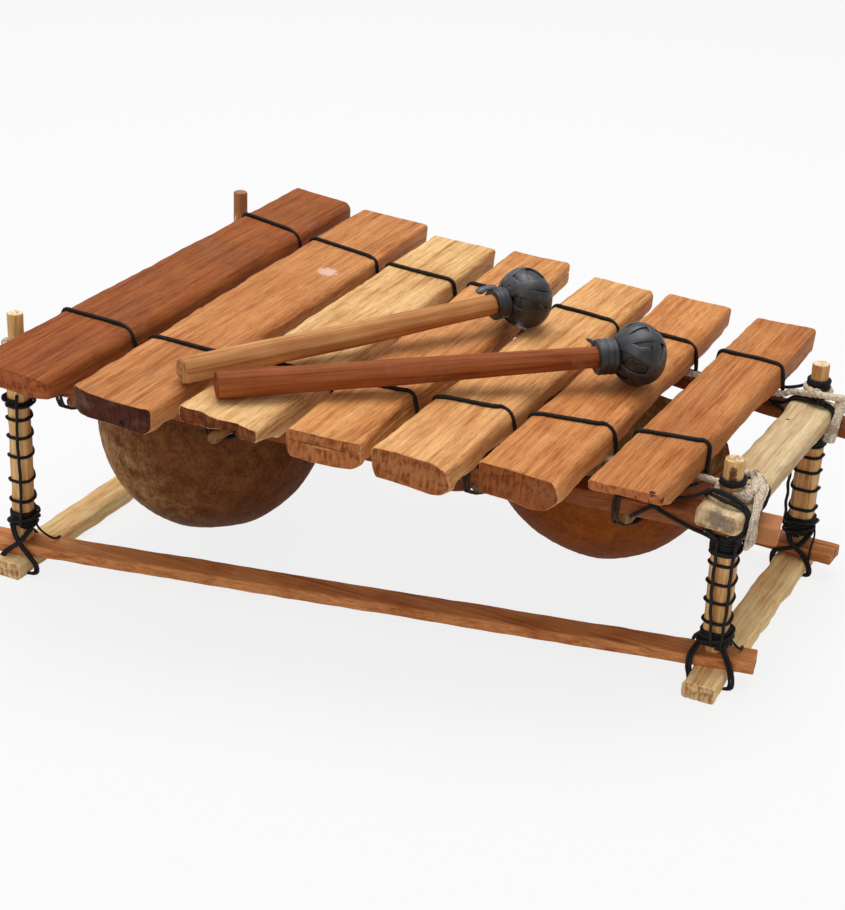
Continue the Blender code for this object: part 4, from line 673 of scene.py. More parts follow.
# a wound head: a ball of rings, then strips along circles of the ball, each a thin slab with round edges.
# Directions are e1 cos f cos t + e2 sin f cos t + n sin t, the distance that of the ball plus the strip's lift
def makeMalletHead(number, look, material):
    s, seed = malletShape, look["seed"]
    rng = np.random.default_rng(seed)
    centre = look["reach"]
    across, along = s["headRadius"] - 0.0020, s["headLength"] / 2 - 0.0014
    shape = Shape()

    def reach(ways):
        return 1 / np.sqrt((ways[..., 0] / along) ** 2 + (ways[..., 1] ** 2 + ways[..., 2] ** 2) / across ** 2)

    angle, turn = np.linspace(0.04, math.pi - 0.04, 40)[:, None], (np.arange(48) / 48 * 2 * math.pi)[None]
    ways = np.stack([np.cos(angle) + 0 * turn, np.sin(angle) * np.cos(turn), np.sin(angle) * np.sin(turn)], -1)
    grid = ways * reach(ways)[..., None] + np.array([centre, 0, 0])
    shape.skin(onMallet(number, grid), 0.0)
    for k in range(15):
        normal = rng.normal(size=3) * np.array([0.55, 1.0, 1.0])
        normal /= np.linalg.norm(normal)
        e1 = np.cross(normal, (0.0, 0.0, 1.0) if abs(normal[2]) < 0.8 else (1.0, 0.0, 0.0))
        e1 /= np.linalg.norm(e1)
        e2 = np.cross(normal, e1)
        f = np.linspace(0, 1, 90) * math.radians(rng.uniform(200, 300)) + rng.uniform(0, 6.28)
        half, offset = rng.uniform(0.15, 0.21), rng.uniform(-0.45, 0.45)
        section = np.linspace(0, 2 * math.pi, 15)[:-1]
        t = offset + half * np.sign(np.cos(section)) * np.abs(np.cos(section)) ** 0.55
        t = t[None] + 0.02 * np.stack([sway(f * 0.02, 0.03, seed + 9 * k)], 1)
        lift = (0.00018 + 0.00090 * k / 15) + 0.00052 * np.sin(section)[None] + 0 * f[:, None]
        ends = np.minimum(f - f[0], f[-1] - f)[:, None]
        lift = lift - 0.0009 * np.clip(1 - ends / 0.25, 0, 1)
        ways = (np.cos(f)[:, None, None] * e1 + np.sin(f)[:, None, None] * e2) * np.cos(t)[..., None] + normal * np.sin(t)[..., None]
        grid = ways * (reach(ways) + lift)[..., None] + np.array([centre, 0, 0])
        shape.skin(onMallet(number, grid), k / 15)
    shape.make(f"malletHead{number}", material, f"mallet_{number}", "head_rubber", f"mallet_head_{number}")


# the collar behind a head: r = inner + t (0.75 + 0.25 saw(x / pitch + angle / turn)), closed at its ends
def makeMalletCollar(number, look, material):
    s, seed = malletShape, look["seed"]
    head = look["reach"] - s["headLength"] / 2
    x = np.linspace(head - look["collar"], head + 0.0020, 46)
    angle = np.arange(60) / 60 * 2 * math.pi
    saw = (x[:, None] / 0.0042 + angle[None] / (2 * math.pi)) % 1.0
    outer = s["neck"] + 0.0004 + look["girth"] * (0.70 + 0.30 * np.minimum(saw * 6, 1.0) * (1 - 0.35 * saw))
    outer += 0.0002 * sway(angle, 1.0, seed)[None]
    ends = np.minimum(x - x[0], x[-1] - x)[:, None]
    outer -= 0.0010 * np.clip(1 - ends / 0.0012, 0, 1) ** 2
    grid = np.stack([np.broadcast_to(x[:, None], outer.shape), outer * np.cos(angle), outer * np.sin(angle)], -1)
    shape = Shape()
    shape.skin(onMallet(number, grid), 0.5)
    for k, (route, widths) in enumerate(look["nubs"]):
        path = np.array(route) + np.array([head, 0.0, 0.0])
        softBand(shape, onMallet(number, path), widths, 0.0020, np.array(look["side"]) + (0, 0, 0.3), seed + 60 + k)
    shape.make(f"malletCollar{number}", material, f"mallet_{number}", "head_rubber", f"mallet_binding_{number}")


# gourd skin: fine mottling of three tones, paler towards `pale`, darker patches, and a fibrous lining
def gourdFinish(name, tones, seed, pale=(-0.8, -0.3, -0.5), where=(0.0, 0.0, 0.1)):
    f = Finish(name, 0.75)
    f.shader.inputs["Specular IOR Level"].default_value = 0.10
    place = f.mapped(f.place, (1, 1, 1), (seed, seed, seed))
    inside = f.node("ShaderNodeAttribute", {"attribute_name": "mark"}, (), "Fac")
    big = f.noise(place, 24.0, 5.0, 0.62, 0.9)
    blot = f.noise(place, 85.0, 5.0, 0.68, 0.6)
    fine = f.noise(place, 420.0, 5.0, 0.72, 0.4)
    centred = f.node("ShaderNodeVectorMath", {"operation": "SUBTRACT"}, (f.place, where), "Vector")
    side = f.node("ShaderNodeVectorMath", {"operation": "DOT_PRODUCT"}, (centred, pale), "Value") * 21.0
    light = f.band(side + (big - 0.5) * 2.4 + (blot - 0.5) * 1.2, -0.30, 1.30)
    skin = f.mix(f.band(blot * 0.45 + fine * 0.55, 0.36, 0.66), tones[0], tones[1])
    worn = f.mix(f.band(blot * 0.40 + fine * 0.60, 0.34, 0.64), tones[1], tones[2])
    skin = f.mix(light, skin, worn)
    skin = f.mix(f.band(big, 0.52, 0.72) * 0.55, skin, tones[3])
    skin = f.mix(f.band(fine, 0.58, 0.74) * 0.35, skin, tones[0])
    fibres = f.noise(f.mapped(place, (1.0, 1.0, 0.3)), 240.0, 3.0, 0.7)
    lining = f.mix(f.band(fibres, 0.4, 0.65), (0.42, 0.25, 0.09), (0.70, 0.50, 0.24))
    lining = f.mix(f.band(blot, 0.5, 0.7) * 0.5, lining, (0.25, 0.13, 0.05))
    return f.set(colour=f.mix(inside, skin, lining), roughness=f.band(big, 0.2, 0.8) * 0.18 + 0.62,
                 normal=f.bump(fine * 0.8 + blot * 0.7 + fibres * inside, 0.40, 0.0009))


# black rubber: each strip its own grey, scuffs, dust, and a painted bluish highlight on the side of `where` that faces
# the light
def rubberFinish(name, where):
    f = Finish(name, 0.5)
    f.shader.inputs["Specular IOR Level"].default_value = 0.6
    scuffs = f.noise(f.place, 160.0, 4.0, 0.6)
    dust = f.noise(f.place, 55.0, 4.0, 0.6)
    strip = f.node("ShaderNodeAttribute", {"attribute_name": "mark"}, (), "Fac")
    body = f.mix(f.node("ShaderNodeMath", {"operation": "FRACT"}, (strip * 7.3,)), (0.006, 0.005, 0.005), (0.020, 0.018, 0.019))
    body = f.mix(f.band(scuffs, 0.52, 0.72) * 0.5, body, (0.062, 0.060, 0.064))
    # painted highlight: the upper side of head and collar is lightened to a bluish shine, its edge broken by the dust
    # noise
    centred = f.node("ShaderNodeVectorMath", {"operation": "SUBTRACT"}, (f.place, where), "Vector")
    lit = f.node("ShaderNodeVectorMath", {"operation": "DOT_PRODUCT"}, (centred, (-0.25, -0.25, 0.93)), "Value") * 46.0
    body = f.mix(f.band(lit + (dust - 0.5) * 1.4, 0.32, 1.25) * 0.8, body, (0.105, 0.110, 0.128))
    body = f.mix(f.band(dust, 0.60, 0.8) * 0.25, body, (0.11, 0.100, 0.092))
    return f.set(colour=body, roughness=f.band(scuffs, 0.3, 0.7) * 0.2 + 0.34, normal=f.bump(scuffs, 0.25, 0.0006))


gourdSkinLeft = gourdFinish("gourdSkinLeft", ((0.085, 0.024, 0.007), (0.215, 0.078, 0.022), (0.66, 0.40, 0.165), (0.105, 0.022, 0.006)),
                            0.0, (-0.75, -0.25, -0.60), (-0.155, -0.06, 0.075))
gourdSkinRight = gourdFinish("gourdSkinRight", ((0.125, 0.026, 0.004), (0.245, 0.055, 0.006), (0.34, 0.098, 0.012), (0.170, 0.034, 0.004)),
                             1.3, (0.3, -0.5, -0.6), (0.12, -0.02, 0.09))
for side, look in gourdLooks.items():
    makeGourd(side, look, gourdSkinLeft if side == "left" else gourdSkinRight)
print("gourds")

malletWoods = {1: plankFinish("handleTan", (0.51, 0.238, 0.089), (0.47, 0.24, 0.10), "y", 5.1, 0.545, fine=0.75, grain=0.022, pore=0.4),
               2: plankFinish("handleRed", (0.300, 0.084, 0.024), (0.24, 0.070, 0.024), "y", 6.3, 0.836, fine=0.75, grain=0.022, pore=0.4)}
for number, look in mallets.items():
    innerTube = rubberFinish(f"innerTube{number}", tuple(onMallet(number, np.array([[look["reach"], 0.0, 0.0]]))[0]))
    makeMalletStick(number, look, malletWoods[number])
    makeMalletHead(number, look, innerTube)
    makeMalletCollar(number, look, innerTube)
print("mallets")

boards.update({
    "upper_rail_front": {"at": (-0.22447, -0.1262, -0.0056), "turn": 11.36, "fall": 0.0, "run": (-0.0285, 0.4853),
                         "size": (0.0203, 0.0112), "deck": True, "radius": 0.0016, "rough": 0.0003, "slot": "rail_wood"},
    "upper_rail_back": {"at": (-0.22648, 0.1543, -0.00375), "turn": -2.799, "fall": 0.0, "run": (-0.0140, 0.4815),
                        "size": (0.0203, 0.0075), "deck": True, "radius": 0.0014, "rough": 0.0003, "slot": "rail_wood"},
    "crossbar_left": {"at": (-0.20838, -0.1262, 0.00325), "turn": 90.41, "fall": 0.0, "run": (-0.0220, 0.2835),
                      "size": (0.0220, 0.0139), "deck": True, "radius": 0.0018, "rough": 0.0004, "slot": "hewn_wood", "seat": -0.0106},
    "crossbar_right": {"at": (0.22075, -0.0367, 0.00325), "turn": 89.15, "fall": 0.0, "run": (-0.0220, 0.1720),
                       "size": (0.0290, 0.0139), "deck": True, "radius": 0.0042, "rough": 0.0005, "ease": 0.0026, "slot": "hewn_wood", "seat": -0.0106},
})
hewnAlongY = plankFinish("hewnWood", (0.590, 0.425, 0.238), (0.56, 0.37, 0.19), "y", 2.2, rough=0.75, fine=0.7, dirt=0.3,
                         dust=(0.46, 0.32, 0.19), cloud=(0.88, 0.84, 0.78), grain=0.05, pore=0.25,
                         spots=(((0.2190, -0.0590, 0.1185), 0.0075, (0.17, 0.135, 0.105), 0.75), ((0.2260, -0.0590, 0.1165), 0.0060, (0.20, 0.16, 0.12), 0.7),
                                ((0.2165, 0.0895, 0.1247), 0.0017, (0.03, 0.02, 0.015), 1.0)))
sleeperGrain = plankFinish("sleeperWood", (0.93, 0.62, 0.295), (0.72, 0.47, 0.23), "y", 2.9, rough=0.75, fine=0.7, dirt=0.3,
                           dust=(0.56, 0.38, 0.22), cloud=(0.84, 0.80, 0.74), grain=0.05, pore=0.3)
lowerRailGrain = plankFinish("lowerRailWood", (0.62, 0.245, 0.085), (0.45, 0.17, 0.060), "x", 3.9, fine=0.8, dirt=0.3,
                             dust=(0.34, 0.16, 0.07), cloud=(0.66, 0.52, 0.42), grain=0.03, wild=1.4)
# upper rails: the base colour is darkened as painted shade for the faces that lie under the keys; the spot at the front
# rail's right end is a painted lit patch where the rail stands clear of the keys
paintedShadeRailWood = plankFinish("redRailWoodPaintedShade", (0.240, 0.072, 0.022), (0.60, 0.26, 0.11), "x", 3.3, fine=0.8, dirt=0.3, dust=(0.16, 0.07, 0.035), spots=(((0.2512, -0.0300, 0.1072), 0.036, (0.74, 0.33, 0.14), 0.42),))
postGrain = plankFinish("whittledWood", (0.70, 0.400, 0.162), (0.78, 0.58, 0.34), "z", 4.4, rough=0.7, fine=0.7, dirt=0.35, dust=(0.34, 0.18, 0.08),
                        spots=tuple(((0.2219, -0.0424, z), 0.0030, (0.12, 0.045, 0.018), 0.9) for z in (0.1345, 0.1368, 0.1392, 0.1415, 0.1440))
                        + (((-0.2260, 0.1543, 0.1800), 0.0300, (0.300, 0.098, 0.036), 0.85),))


def makeBoard(node, look, seed, material):
    grid, mark = boardGrid(look, seed)
    if "seat" in look:
        heel = (grid[..., 2] < -0.0024) & (grid[..., 0] > look["seat"])
        grid[..., 2] = np.where(heel, np.maximum(grid[..., 2], -0.00295), grid[..., 2])
    shape = Shape()
    shape.skin(turned(grid, look), mark)
    shape.make(node.title().replace("_", ""), material, "frame", look["slot"], node)


for k, (node, look) in enumerate(boards.items()):
    wood = {"s": sleeperGrain, "l": lowerRailGrain, "u": paintedShadeRailWood, "c": hewnAlongY}[node[0]]
    makeBoard(node, look, 200 + 40 * k, wood)

# posts: place on the floor, width, peg radius, thickness of the upper rail
posts = {
    "front_left": {"at": (-0.2240, -0.1262), "width": 0.0140, "peg": 0.0050, "rail": 0.0112},
    "front_right": {"at": (0.2205, -0.0367), "width": 0.0158, "peg": 0.0060, "rail": 0.0112},
    "back_left": {"at": (-0.2260, 0.1543), "width": 0.0140, "peg": 0.0049, "rail": 0.0075},
    "back_right": {"at": (0.2230, 0.1323), "width": 0.0164, "peg": 0.0056, "rail": 0.0075},
}
postShape = {"foot": 0.0104, "footEnd": 0.0201, "taper": 0.0125, "tenon": 0.0043, "chamfer": 0.0034, "rise": 0.0352}


# height over the floor of a deck level above the place (x, y)
def heightOf(x, level):
    return deck["height"] + (level - x * math.sin(deck["tilt"])) / math.cos(deck["tilt"])


# a whittled post: eight eased faces at swayed distances, a tapered foot on a tenon, a round peg over the shoulder
def makePost(corner, look, seed):
    s = postShape
    x0, y0 = look["at"]
    shoulder, top = heightOf(x0, -look["rail"] - fitGap) - 0.0004, heightOf(x0, s["rise"])
    z = np.unique(np.concatenate([np.linspace(0.004, top - 0.001, 170), [s["footEnd"], s["footEnd"] + 0.0002, shoulder, shoulder + 0.0002],
                                  top - np.array([0.0010, 0.0007, 0.0004, 0.00015, 0.0])]))
    half = np.interp(z, (0, s["footEnd"], s["footEnd"] + 0.0002, s["footEnd"] + s["taper"], shoulder, shoulder + 0.0002, 1),
                     (s["tenon"], s["tenon"], s["foot"] / 2, look["width"] / 2, look["width"] / 2, look["peg"], look["peg"]))
    body = (z > s["footEnd"] + 0.0001) & (z < shoulder + 0.0001)
    cornerHalf = np.where(body, (2 * half - s["chamfer"] * np.clip(half / (look["width"] / 2), 0, 1)) / math.sqrt(2), half)
    distances = np.stack([half if k % 2 == 0 else cornerHalf for k in range(8)], 1)
    rough = np.where(body, 0.0004, 0.00012)[:, None]
    distances = distances - rough * (1 + np.stack([sway(z, 0.045, seed + k) + 0.4 * sway(z, 0.012, seed + 10 + k) for k in range(8)], 1))
    distances *= np.interp(z, (top - 0.0010, top - 0.0004, top), (1.0, 0.965, 0.86))[:, None]
    angle = np.arange(72) / 72 * 2 * math.pi
    r = faceted(angle, np.arange(8) * math.pi / 4, distances, 26.0)
    grid = np.stack([x0 + r * np.cos(angle), y0 + r * np.sin(angle), np.broadcast_to(z[:, None], r.shape)], -1)
    ring = grid[-1]
    middle = ring.mean(0)
    cap = middle + (ring - middle)[None] * np.linspace(0.88, 0.06, 7)[:, None, None]
    cap[..., 2] += 0.00015 * waves(cap, 0.004, seed + 40)
    cap[..., 2] = np.minimum(cap[..., 2], top)
    mark = np.concatenate([np.where(np.arange(len(z)) < len(z) - 2, 0.0, 1.0)[:, None] + np.zeros((1, 72)), np.ones((7, 72))])
    shape = Shape()
    shape.skin(np.concatenate([grid, cap]), mark)
    shape.make("post" + corner.title().replace("_", ""), postGrain, "frame", "post_wood", "post_" + corner)


for k, (corner, look) in enumerate(posts.items()):
    makePost(corner, look, 500 + 60 * k)
print("frame")


def cordFinish(name, dark, light, rough, scale):
    f = Finish(name, rough)
    f.shader.inputs["Specular IOR Level"].default_value = 0.3
    fluff = f.noise(f.place, scale, 3.0, 0.6)
    dust = f.noise(f.place, 90.0, 3.0, 0.6)
    colour = f.mix(f.band(fluff, 0.35, 0.75), dark, light)
    colour = f.mix(f.band(dust, 0.52, 0.75) * 0.35, colour, tuple(c * 0.6 + 0.02 for c in light))
    return f.set(colour=colour, normal=f.bump(fluff, 0.5, 0.0004))


blackCord = cordFinish("blackCord", (0.0040, 0.0032, 0.0030), (0.0150, 0.0118, 0.0105), 0.7, 1100.0)

# post lashings: the way to the viewer's side, turning sense, levels of the lower collar, of the rungs and of the
# upper collar, then the strands down the face as (angle, top, bottom)
lashings = {
    "front_left": {"facing": -62, "sense": 1, "lower": (0.0312, 0.0415), "rungs": (0.0498, 0.0642, 0.0813, 0.0947, 0.1073),
                   "upper": (0.1168, 0.1215), "strands": ((-64, -62, 0.1240, 0.0330),)},
    "front_right": {"facing": -74, "sense": 1, "lower": (0.0256, 0.0362), "rungs": (0.0425, 0.0565, 0.0688, 0.0817),
                    "upper": (0.0890, 0.1030), "strands": ((-106, -92, 0.0980, 0.0300), (-43, -52, 0.0980, 0.0300))},
    "back_left": {"facing": -62, "sense": 1, "lower": (0.0312, 0.0400), "rungs": (0.0500, 0.0635, 0.0780, 0.0910, 0.1040, 0.1165),
                  "upper": (0.1230, 0.1300), "strands": ((-64, -62, 0.1280, 0.0330),)},
    "back_right": {"facing": -76, "sense": -1, "lower": (0.0268, 0.0398), "rungs": (0.0461, 0.0610, 0.0742, 0.0852),
                   "upper": (0.0930, 0.1030), "strands": ((-148, -146, 0.0960, 0.0330),)},
}
lashSize = 0.0022


# distance from a post's axis to its faces at each angle, the edges eased
def postReach(look, angle, off=0.0):
    half, corner = look["width"] / 2, (look["width"] - postShape["chamfer"]) / math.sqrt(2)
    distances = np.array([[half, corner] * 4])
    return faceted(np.asarray(angle), np.arange(8) * math.pi / 4, distances, 14.0)[0] + off


# places on a post's winding: angle, level and distance off its faces
def onPost(look, angle, level, off):
    reach = postReach(look, angle, off)
    return np.stack([look["at"][0] + reach * np.cos(angle), look["at"][1] + reach * np.sin(angle), level], -1)


# the winding: turn after turn, level in front and climbing to the next turn's level behind the post
def windPost(shape, corner, look, wind, seed):
    rng = np.random.default_rng(seed)
    collars = [np.arange(a, b, lashSize * 0.88) for a, b in (wind["lower"], wind["upper"])]
    levels = np.concatenate([collars[0], wind["rungs"], collars[1]])
    levels = levels + rng.uniform(-0.0003, 0.0003, len(levels))
    t = np.linspace(0, len(levels) - 1.001, 36 * (len(levels) - 1))
    turn = t.astype(int)
    level = levels[turn] + (levels[turn + 1] - levels[turn]) * smoothStep(t - turn, 0.16, 0.84)
    angle = math.radians(wind["facing"]) + wind["sense"] * 2 * math.pi * t
    tight = 0.00012 * sway(t * 0.01, 0.006, seed)
    route = onPost(look, angle, level, lashSize / 2 - 0.00075 + tight)
    twistedCord(shape, route, lashSize, lay=0.0050, groove=0.16, sides=10, step=0.0008, seed=seed, rounds=0)
    for k, (level, rows) in enumerate(((wind["lower"], 3), (wind["upper"], 2))):
        t = np.linspace(0, rows * 0.5, 60 * rows)
        angle = math.radians(wind["facing"] - 120 + 70 * k) - wind["sense"] * 2 * math.pi * t
        middle, swing = sum(level) / 2, (level[1] - level[0]) * 0.36
        route = onPost(look, angle, middle + swing * np.sin(2 * math.pi * t * 0.7 + k), lashSize * 1.12)
        twistedCord(shape, route, lashSize, lay=0.0050, groove=0.16, sides=10, step=0.0008, seed=seed + 7 + k, rounds=0)
    for k, (facing, faced, top, bottom) in enumerate(wind["strands"]):
        z = np.linspace(top, bottom, 40)
        a = np.radians(np.linspace(facing, faced, 40)) + 0.08 * sway(z, 0.05, seed + 20 + k)
        off = lashSize * 1.25 - 0.0004 * np.cos(2 * math.pi * (z - top) / 0.0135)
        route = onPost(look, a, z, off)
        inward = onPost(look, a[[0, -1]], z[[0, -1]], 0.0)
        route = np.concatenate([inward[:1] + (0, 0, 0.0015), route, inward[1:] - (0, 0, 0.0015)])
        twistedCord(shape, route, lashSize, lay=0.0050, groove=0.16, sides=10, step=0.0008, seed=seed + 30 + k)


# foot cords over the lower rail and under the sleeper, as places along the rail, across it and up from the
# post's foot. The first two are laid twice, side by side, and mirrored once to the rail's other side
footCords = {
    "front_left": (
        ((-0.0066, -0.0062, 0.0330), (-0.0030, -0.0098, 0.0260), (0.0016, -0.0117, 0.0200), (0.0090, -0.0124, 0.0120),
         (0.0128, -0.0128, 0.0070), (0.0122, -0.0128, 0.0016), (0.0040, -0.0128, 0.0014)),
        ((0.0072, -0.0060, 0.0320), (0.0036, -0.0096, 0.0260), (-0.0010, -0.0120, 0.0210), (-0.0080, -0.0122, 0.0160),
         (-0.0126, -0.0126, 0.0100), (-0.0126, -0.0126, 0.0016), (-0.0040, -0.0126, 0.0014)),
        ((0.0086, -0.0020, 0.0340), (0.0124, -0.0020, 0.0280), (0.0205, 0.0010, 0.0214), (0.0215, 0.0080, 0.0212),
         (0.0190, 0.0118, 0.0180), (0.0140, 0.0126, 0.0110)),
    ),
    "front_right": (
        ((-0.0080, -0.0040, 0.0300), (-0.0116, -0.0080, 0.0250), (-0.0140, -0.0112, 0.0208), (-0.0146, -0.0116, 0.0124),
         (-0.0128, -0.0126, 0.0070), (-0.0122, -0.0126, 0.0016), (-0.0040, -0.0126, 0.0014)),
        ((0.0042, -0.0084, 0.0300), (0.0058, -0.0098, 0.0250), (0.0086, -0.0116, 0.0204), (0.0118, -0.0122, 0.0120),
         (0.0128, -0.0128, 0.0060), (0.0122, -0.0128, 0.0016), (0.0040, -0.0128, 0.0014)),
        ((0.0092, -0.0020, 0.0310), (0.0130, -0.0010, 0.0256), (0.0165, 0.0030, 0.0214), (0.0168, 0.0090, 0.0210),
         (0.0150, 0.0122, 0.0170), (0.0130, 0.0126, 0.0090)),
    ),
    "back_right": (
        ((-0.0080, -0.0054, 0.0310), (-0.0052, -0.0098, 0.0250), (-0.0010, -0.0116, 0.0205), (0.0080, -0.0118, 0.0150),
         (0.0126, -0.0124, 0.0070), (0.0122, -0.0126, 0.0016), (0.0040, -0.0126, 0.0014)),
        ((0.0084, -0.0050, 0.0310), (0.0050, -0.0100, 0.0240), (0.0010, -0.0118, 0.0200), (-0.0090, -0.0116, 0.0160),
         (-0.0146, -0.0118, 0.0130), (-0.0132, -0.0126, 0.0016), (-0.0040, -0.0126, 0.0014)),
        ((0.0098, -0.0010, 0.0340), (0.0120, -0.0040, 0.0280), (0.0118, -0.0112, 0.0208), (0.0122, -0.0118, 0.0120),
         (0.0124, -0.0124, 0.0030)),
    ),
}
footCords["back_left"] = footCords["front_left"]
footTurn = {"front": 11.383, "back": -2.805}


def footPlace(corner, places):
    a = math.radians(footTurn[corner.split("_")[0]])
    along, across = np.array([math.cos(a), math.sin(a), 0.0]), np.array([-math.sin(a), math.cos(a), 0.0])
    at = np.array([*posts[corner]["at"], 0.0])
    p = np.asarray(places)
    return at + p[:, :1] * along + p[:, 1:2] * across + p[:, 2:] * np.array([0.0, 0.0, 1.0])


def tieFoot(shape, corner, seed):
    cords = [np.array(c) for c in footCords[corner]]
    behind = [c * (1, -1, 1) for c in cords[:2]]
    for k, cord in enumerate(cords + behind):
        for copy in range(2 if k < 2 else 1):
            beside = np.array([0.0021 * copy, -0.0006 * copy, 0.0004 * copy])
            twistedCord(shape, footPlace(corner, cord + beside), lashSize * (1.0 if k != 2 else 0.7), lay=0.0050, groove=0.16,
                        sides=10, step=0.0008, seed=seed + 5 * k + copy)


for k, (corner, wind) in enumerate(lashings.items()):
    shape = Shape()
    windPost(shape, corner, posts[corner], wind, 700 + 50 * k)
    tieFoot(shape, corner, 720 + 50 * k)
    for grid in shape.points:
        grid[..., 2] = np.maximum(grid[..., 2], 0.0002)  # pressed flat under the sleeper
    shape.make("lashing" + corner.title().replace("_", ""), blackCord, "frame", "lashing_cord", "post_lashing_" + corner)
print("post lashings")


# the x of a line through two posts on the deck, and the y of an upper rail's centre line there
def deckPost(corner, rise=0.0):
    x, y = posts[corner]["at"]
    return np.array([(x - rise * math.sin(deck["tilt"])) / math.cos(deck["tilt"]), y, rise])


def railLine(end, x):
    a, b = deckPost(end + "_left"), deckPost(end + "_right")
    return a[1] + (x - a[0]) * (b[1] - a[1]) / (b[0] - a[0])


def cordShape(shape, route, seed, size=cordSize, rounds=2, flat=False):
    twistedCord(shape, fromDeck(route) if not flat else route, size, lay=size * 2.1, groove=0.16, sides=10, step=0.0008,
                seed=seed, rounds=rounds)


# key ropes: crossings with the keys' middles, front and back
ropeCrossings = {"front": (-0.0993, -0.0980, -0.0865, -0.0765, -0.0625, -0.0465, -0.0295),
                 "back": (0.1165, 0.1080, 0.1035, 0.1100, 0.1106, 0.1100, 0.1135)}
keyMiddles = [sum(look["front"] + look["back"]) / 4 for look in keyLooks]


# the place across the deck of a key rope: a cubic through its crossings, slopes from the neighbours
def ropeLine(end, x):
    inward = 1 if end == "front" else -1
    corner = deckPost(end + "_right", deck["ropeLevel"])
    first = deckPost("front_left", deck["ropeLevel"])[:2] + (0, 0.0050 + 0.0026)
    if end == "back":
        first = np.array([-0.1948, 0.1283])
    knots = np.array([first[0], *keyMiddles, corner[0]])
    values = np.array([first[1], *ropeCrossings[end], corner[1] + inward * (posts[end + "_right"]["peg"] + 0.0026)])
    slopes = np.gradient(values, knots)
    slopes[1:-1] = (values[2:] - values[:-2]) / (knots[2:] - knots[:-2])
    x = np.maximum(np.asarray(x, float), first[0])
    i = np.clip(np.searchsorted(knots, x, side="right") - 1, 0, len(knots) - 2)
    span = knots[i + 1] - knots[i]
    t = (x - knots[i]) / span
    return (values[i] * (1 + 2 * t) * (1 - t) ** 2 + slopes[i] * span * t * (1 - t) ** 2
            + values[i + 1] * t * t * (3 - 2 * t) + slopes[i + 1] * span * t * t * (t - 1))


# the cord that holds the keys down: under the rope in each gap, up a key's left side, over it and down its right
def keyCord(end, seed):
    off, apart = cordSize / 2 + 0.0001, ropeSize / 2 + cordSize / 2 + 0.0009
    low, high = deck["ropeLevel"] - ropeSize / 2 - cordSize / 2 - 0.0006, deck["keyTop"] + cordSize / 2 - 0.0001
    across = ropeCrossings[end]
    path = []
    for k, look in enumerate(keyLooks):
        near, far = max(k - 1, 0), min(k + 1, len(keyLooks) - 1)
        slope = (across[far] - across[near]) / (keyMiddles[far] - keyMiddles[near])
        half = (keyEdge(look, 1, across[k]) - keyEdge(look, 0, across[k])) / 2
        risen, fallen = across[k] - slope * half, across[k] + slope * half
        leftX, rightX = keyEdge(look, 0, risen) - off, keyEdge(look, 1, fallen) + off
        lowLeft, lowRight = leftX, rightX
        riseY = ropeLine(end, leftX) - apart
        fallY = ropeLine(end, rightX) + apart
        r1, r2 = keyRadius(look, 2, risen) + off, keyRadius(look, 1, fallen) * 1.15 + off
        way = np.array([rightX - leftX, fallen - risen])
        top = [(leftX, risen, high - r1), (leftX + 0.3 * r1, risen, high - 0.3 * r1), (leftX + r1, risen, high)]
        t = np.linspace((r1 + 0.003) / way[0], 1 - (r2 + 0.003) / way[0], 6)
        wander = 0.0006 * sway(t + k, 0.7, seed + k)
        top += [(leftX + way[0] * s, risen + way[1] * s + w, high) for s, w in zip(t, wander)]
        top += [(rightX - r2, fallen, high), (rightX - 0.3 * r2, fallen, high - 0.3 * r2), (rightX, fallen, high - r2)]
        path += [(lowLeft - 0.0005, riseY + 0.0016, low), (lowLeft, riseY, low + 0.0016), (lowLeft, riseY, deck["keyUnder"])]
        path += top
        path += [(lowRight, fallY, deck["keyUnder"]), (lowRight, fallY, low + 0.0016), (lowRight + 0.0005, fallY - 0.0016, low)]
    del path[0]
    path[0] = (*path[0][:2], deck["barTop"] + off + 0.0003)
    return path


for end in ("front", "back"):
    shape = Shape()
    cordShape(shape, keyCord(end, 900 if end == "front" else 920), 905, 0.0028)
    shape.make("keyCord" + end.title(), blackCord, "frame", "lashing_cord", "key_cord_" + end)

# hanger sticks: place of each along the deck, radius, how far its front end reaches past the front rail's face
hangers = ((-0.18449, 0.0040, -0.0040), (-0.08782, 0.0040, 0.0050), (0.0320, 0.0025, -0.0040), (0.07402, 0.0040, -0.0040),
           (0.16398, 0.0040, -0.0040))
railDepth = {"front": 0.0112, "back": 0.0075}
hangerTones = plankFinish("stickWood", (0.36, 0.20, 0.085), (0.24, 0.12, 0.050), "y", 9.1, rough=0.75, fine=0.7, dirt=0.5,
                          dust=(0.22, 0.13, 0.07))


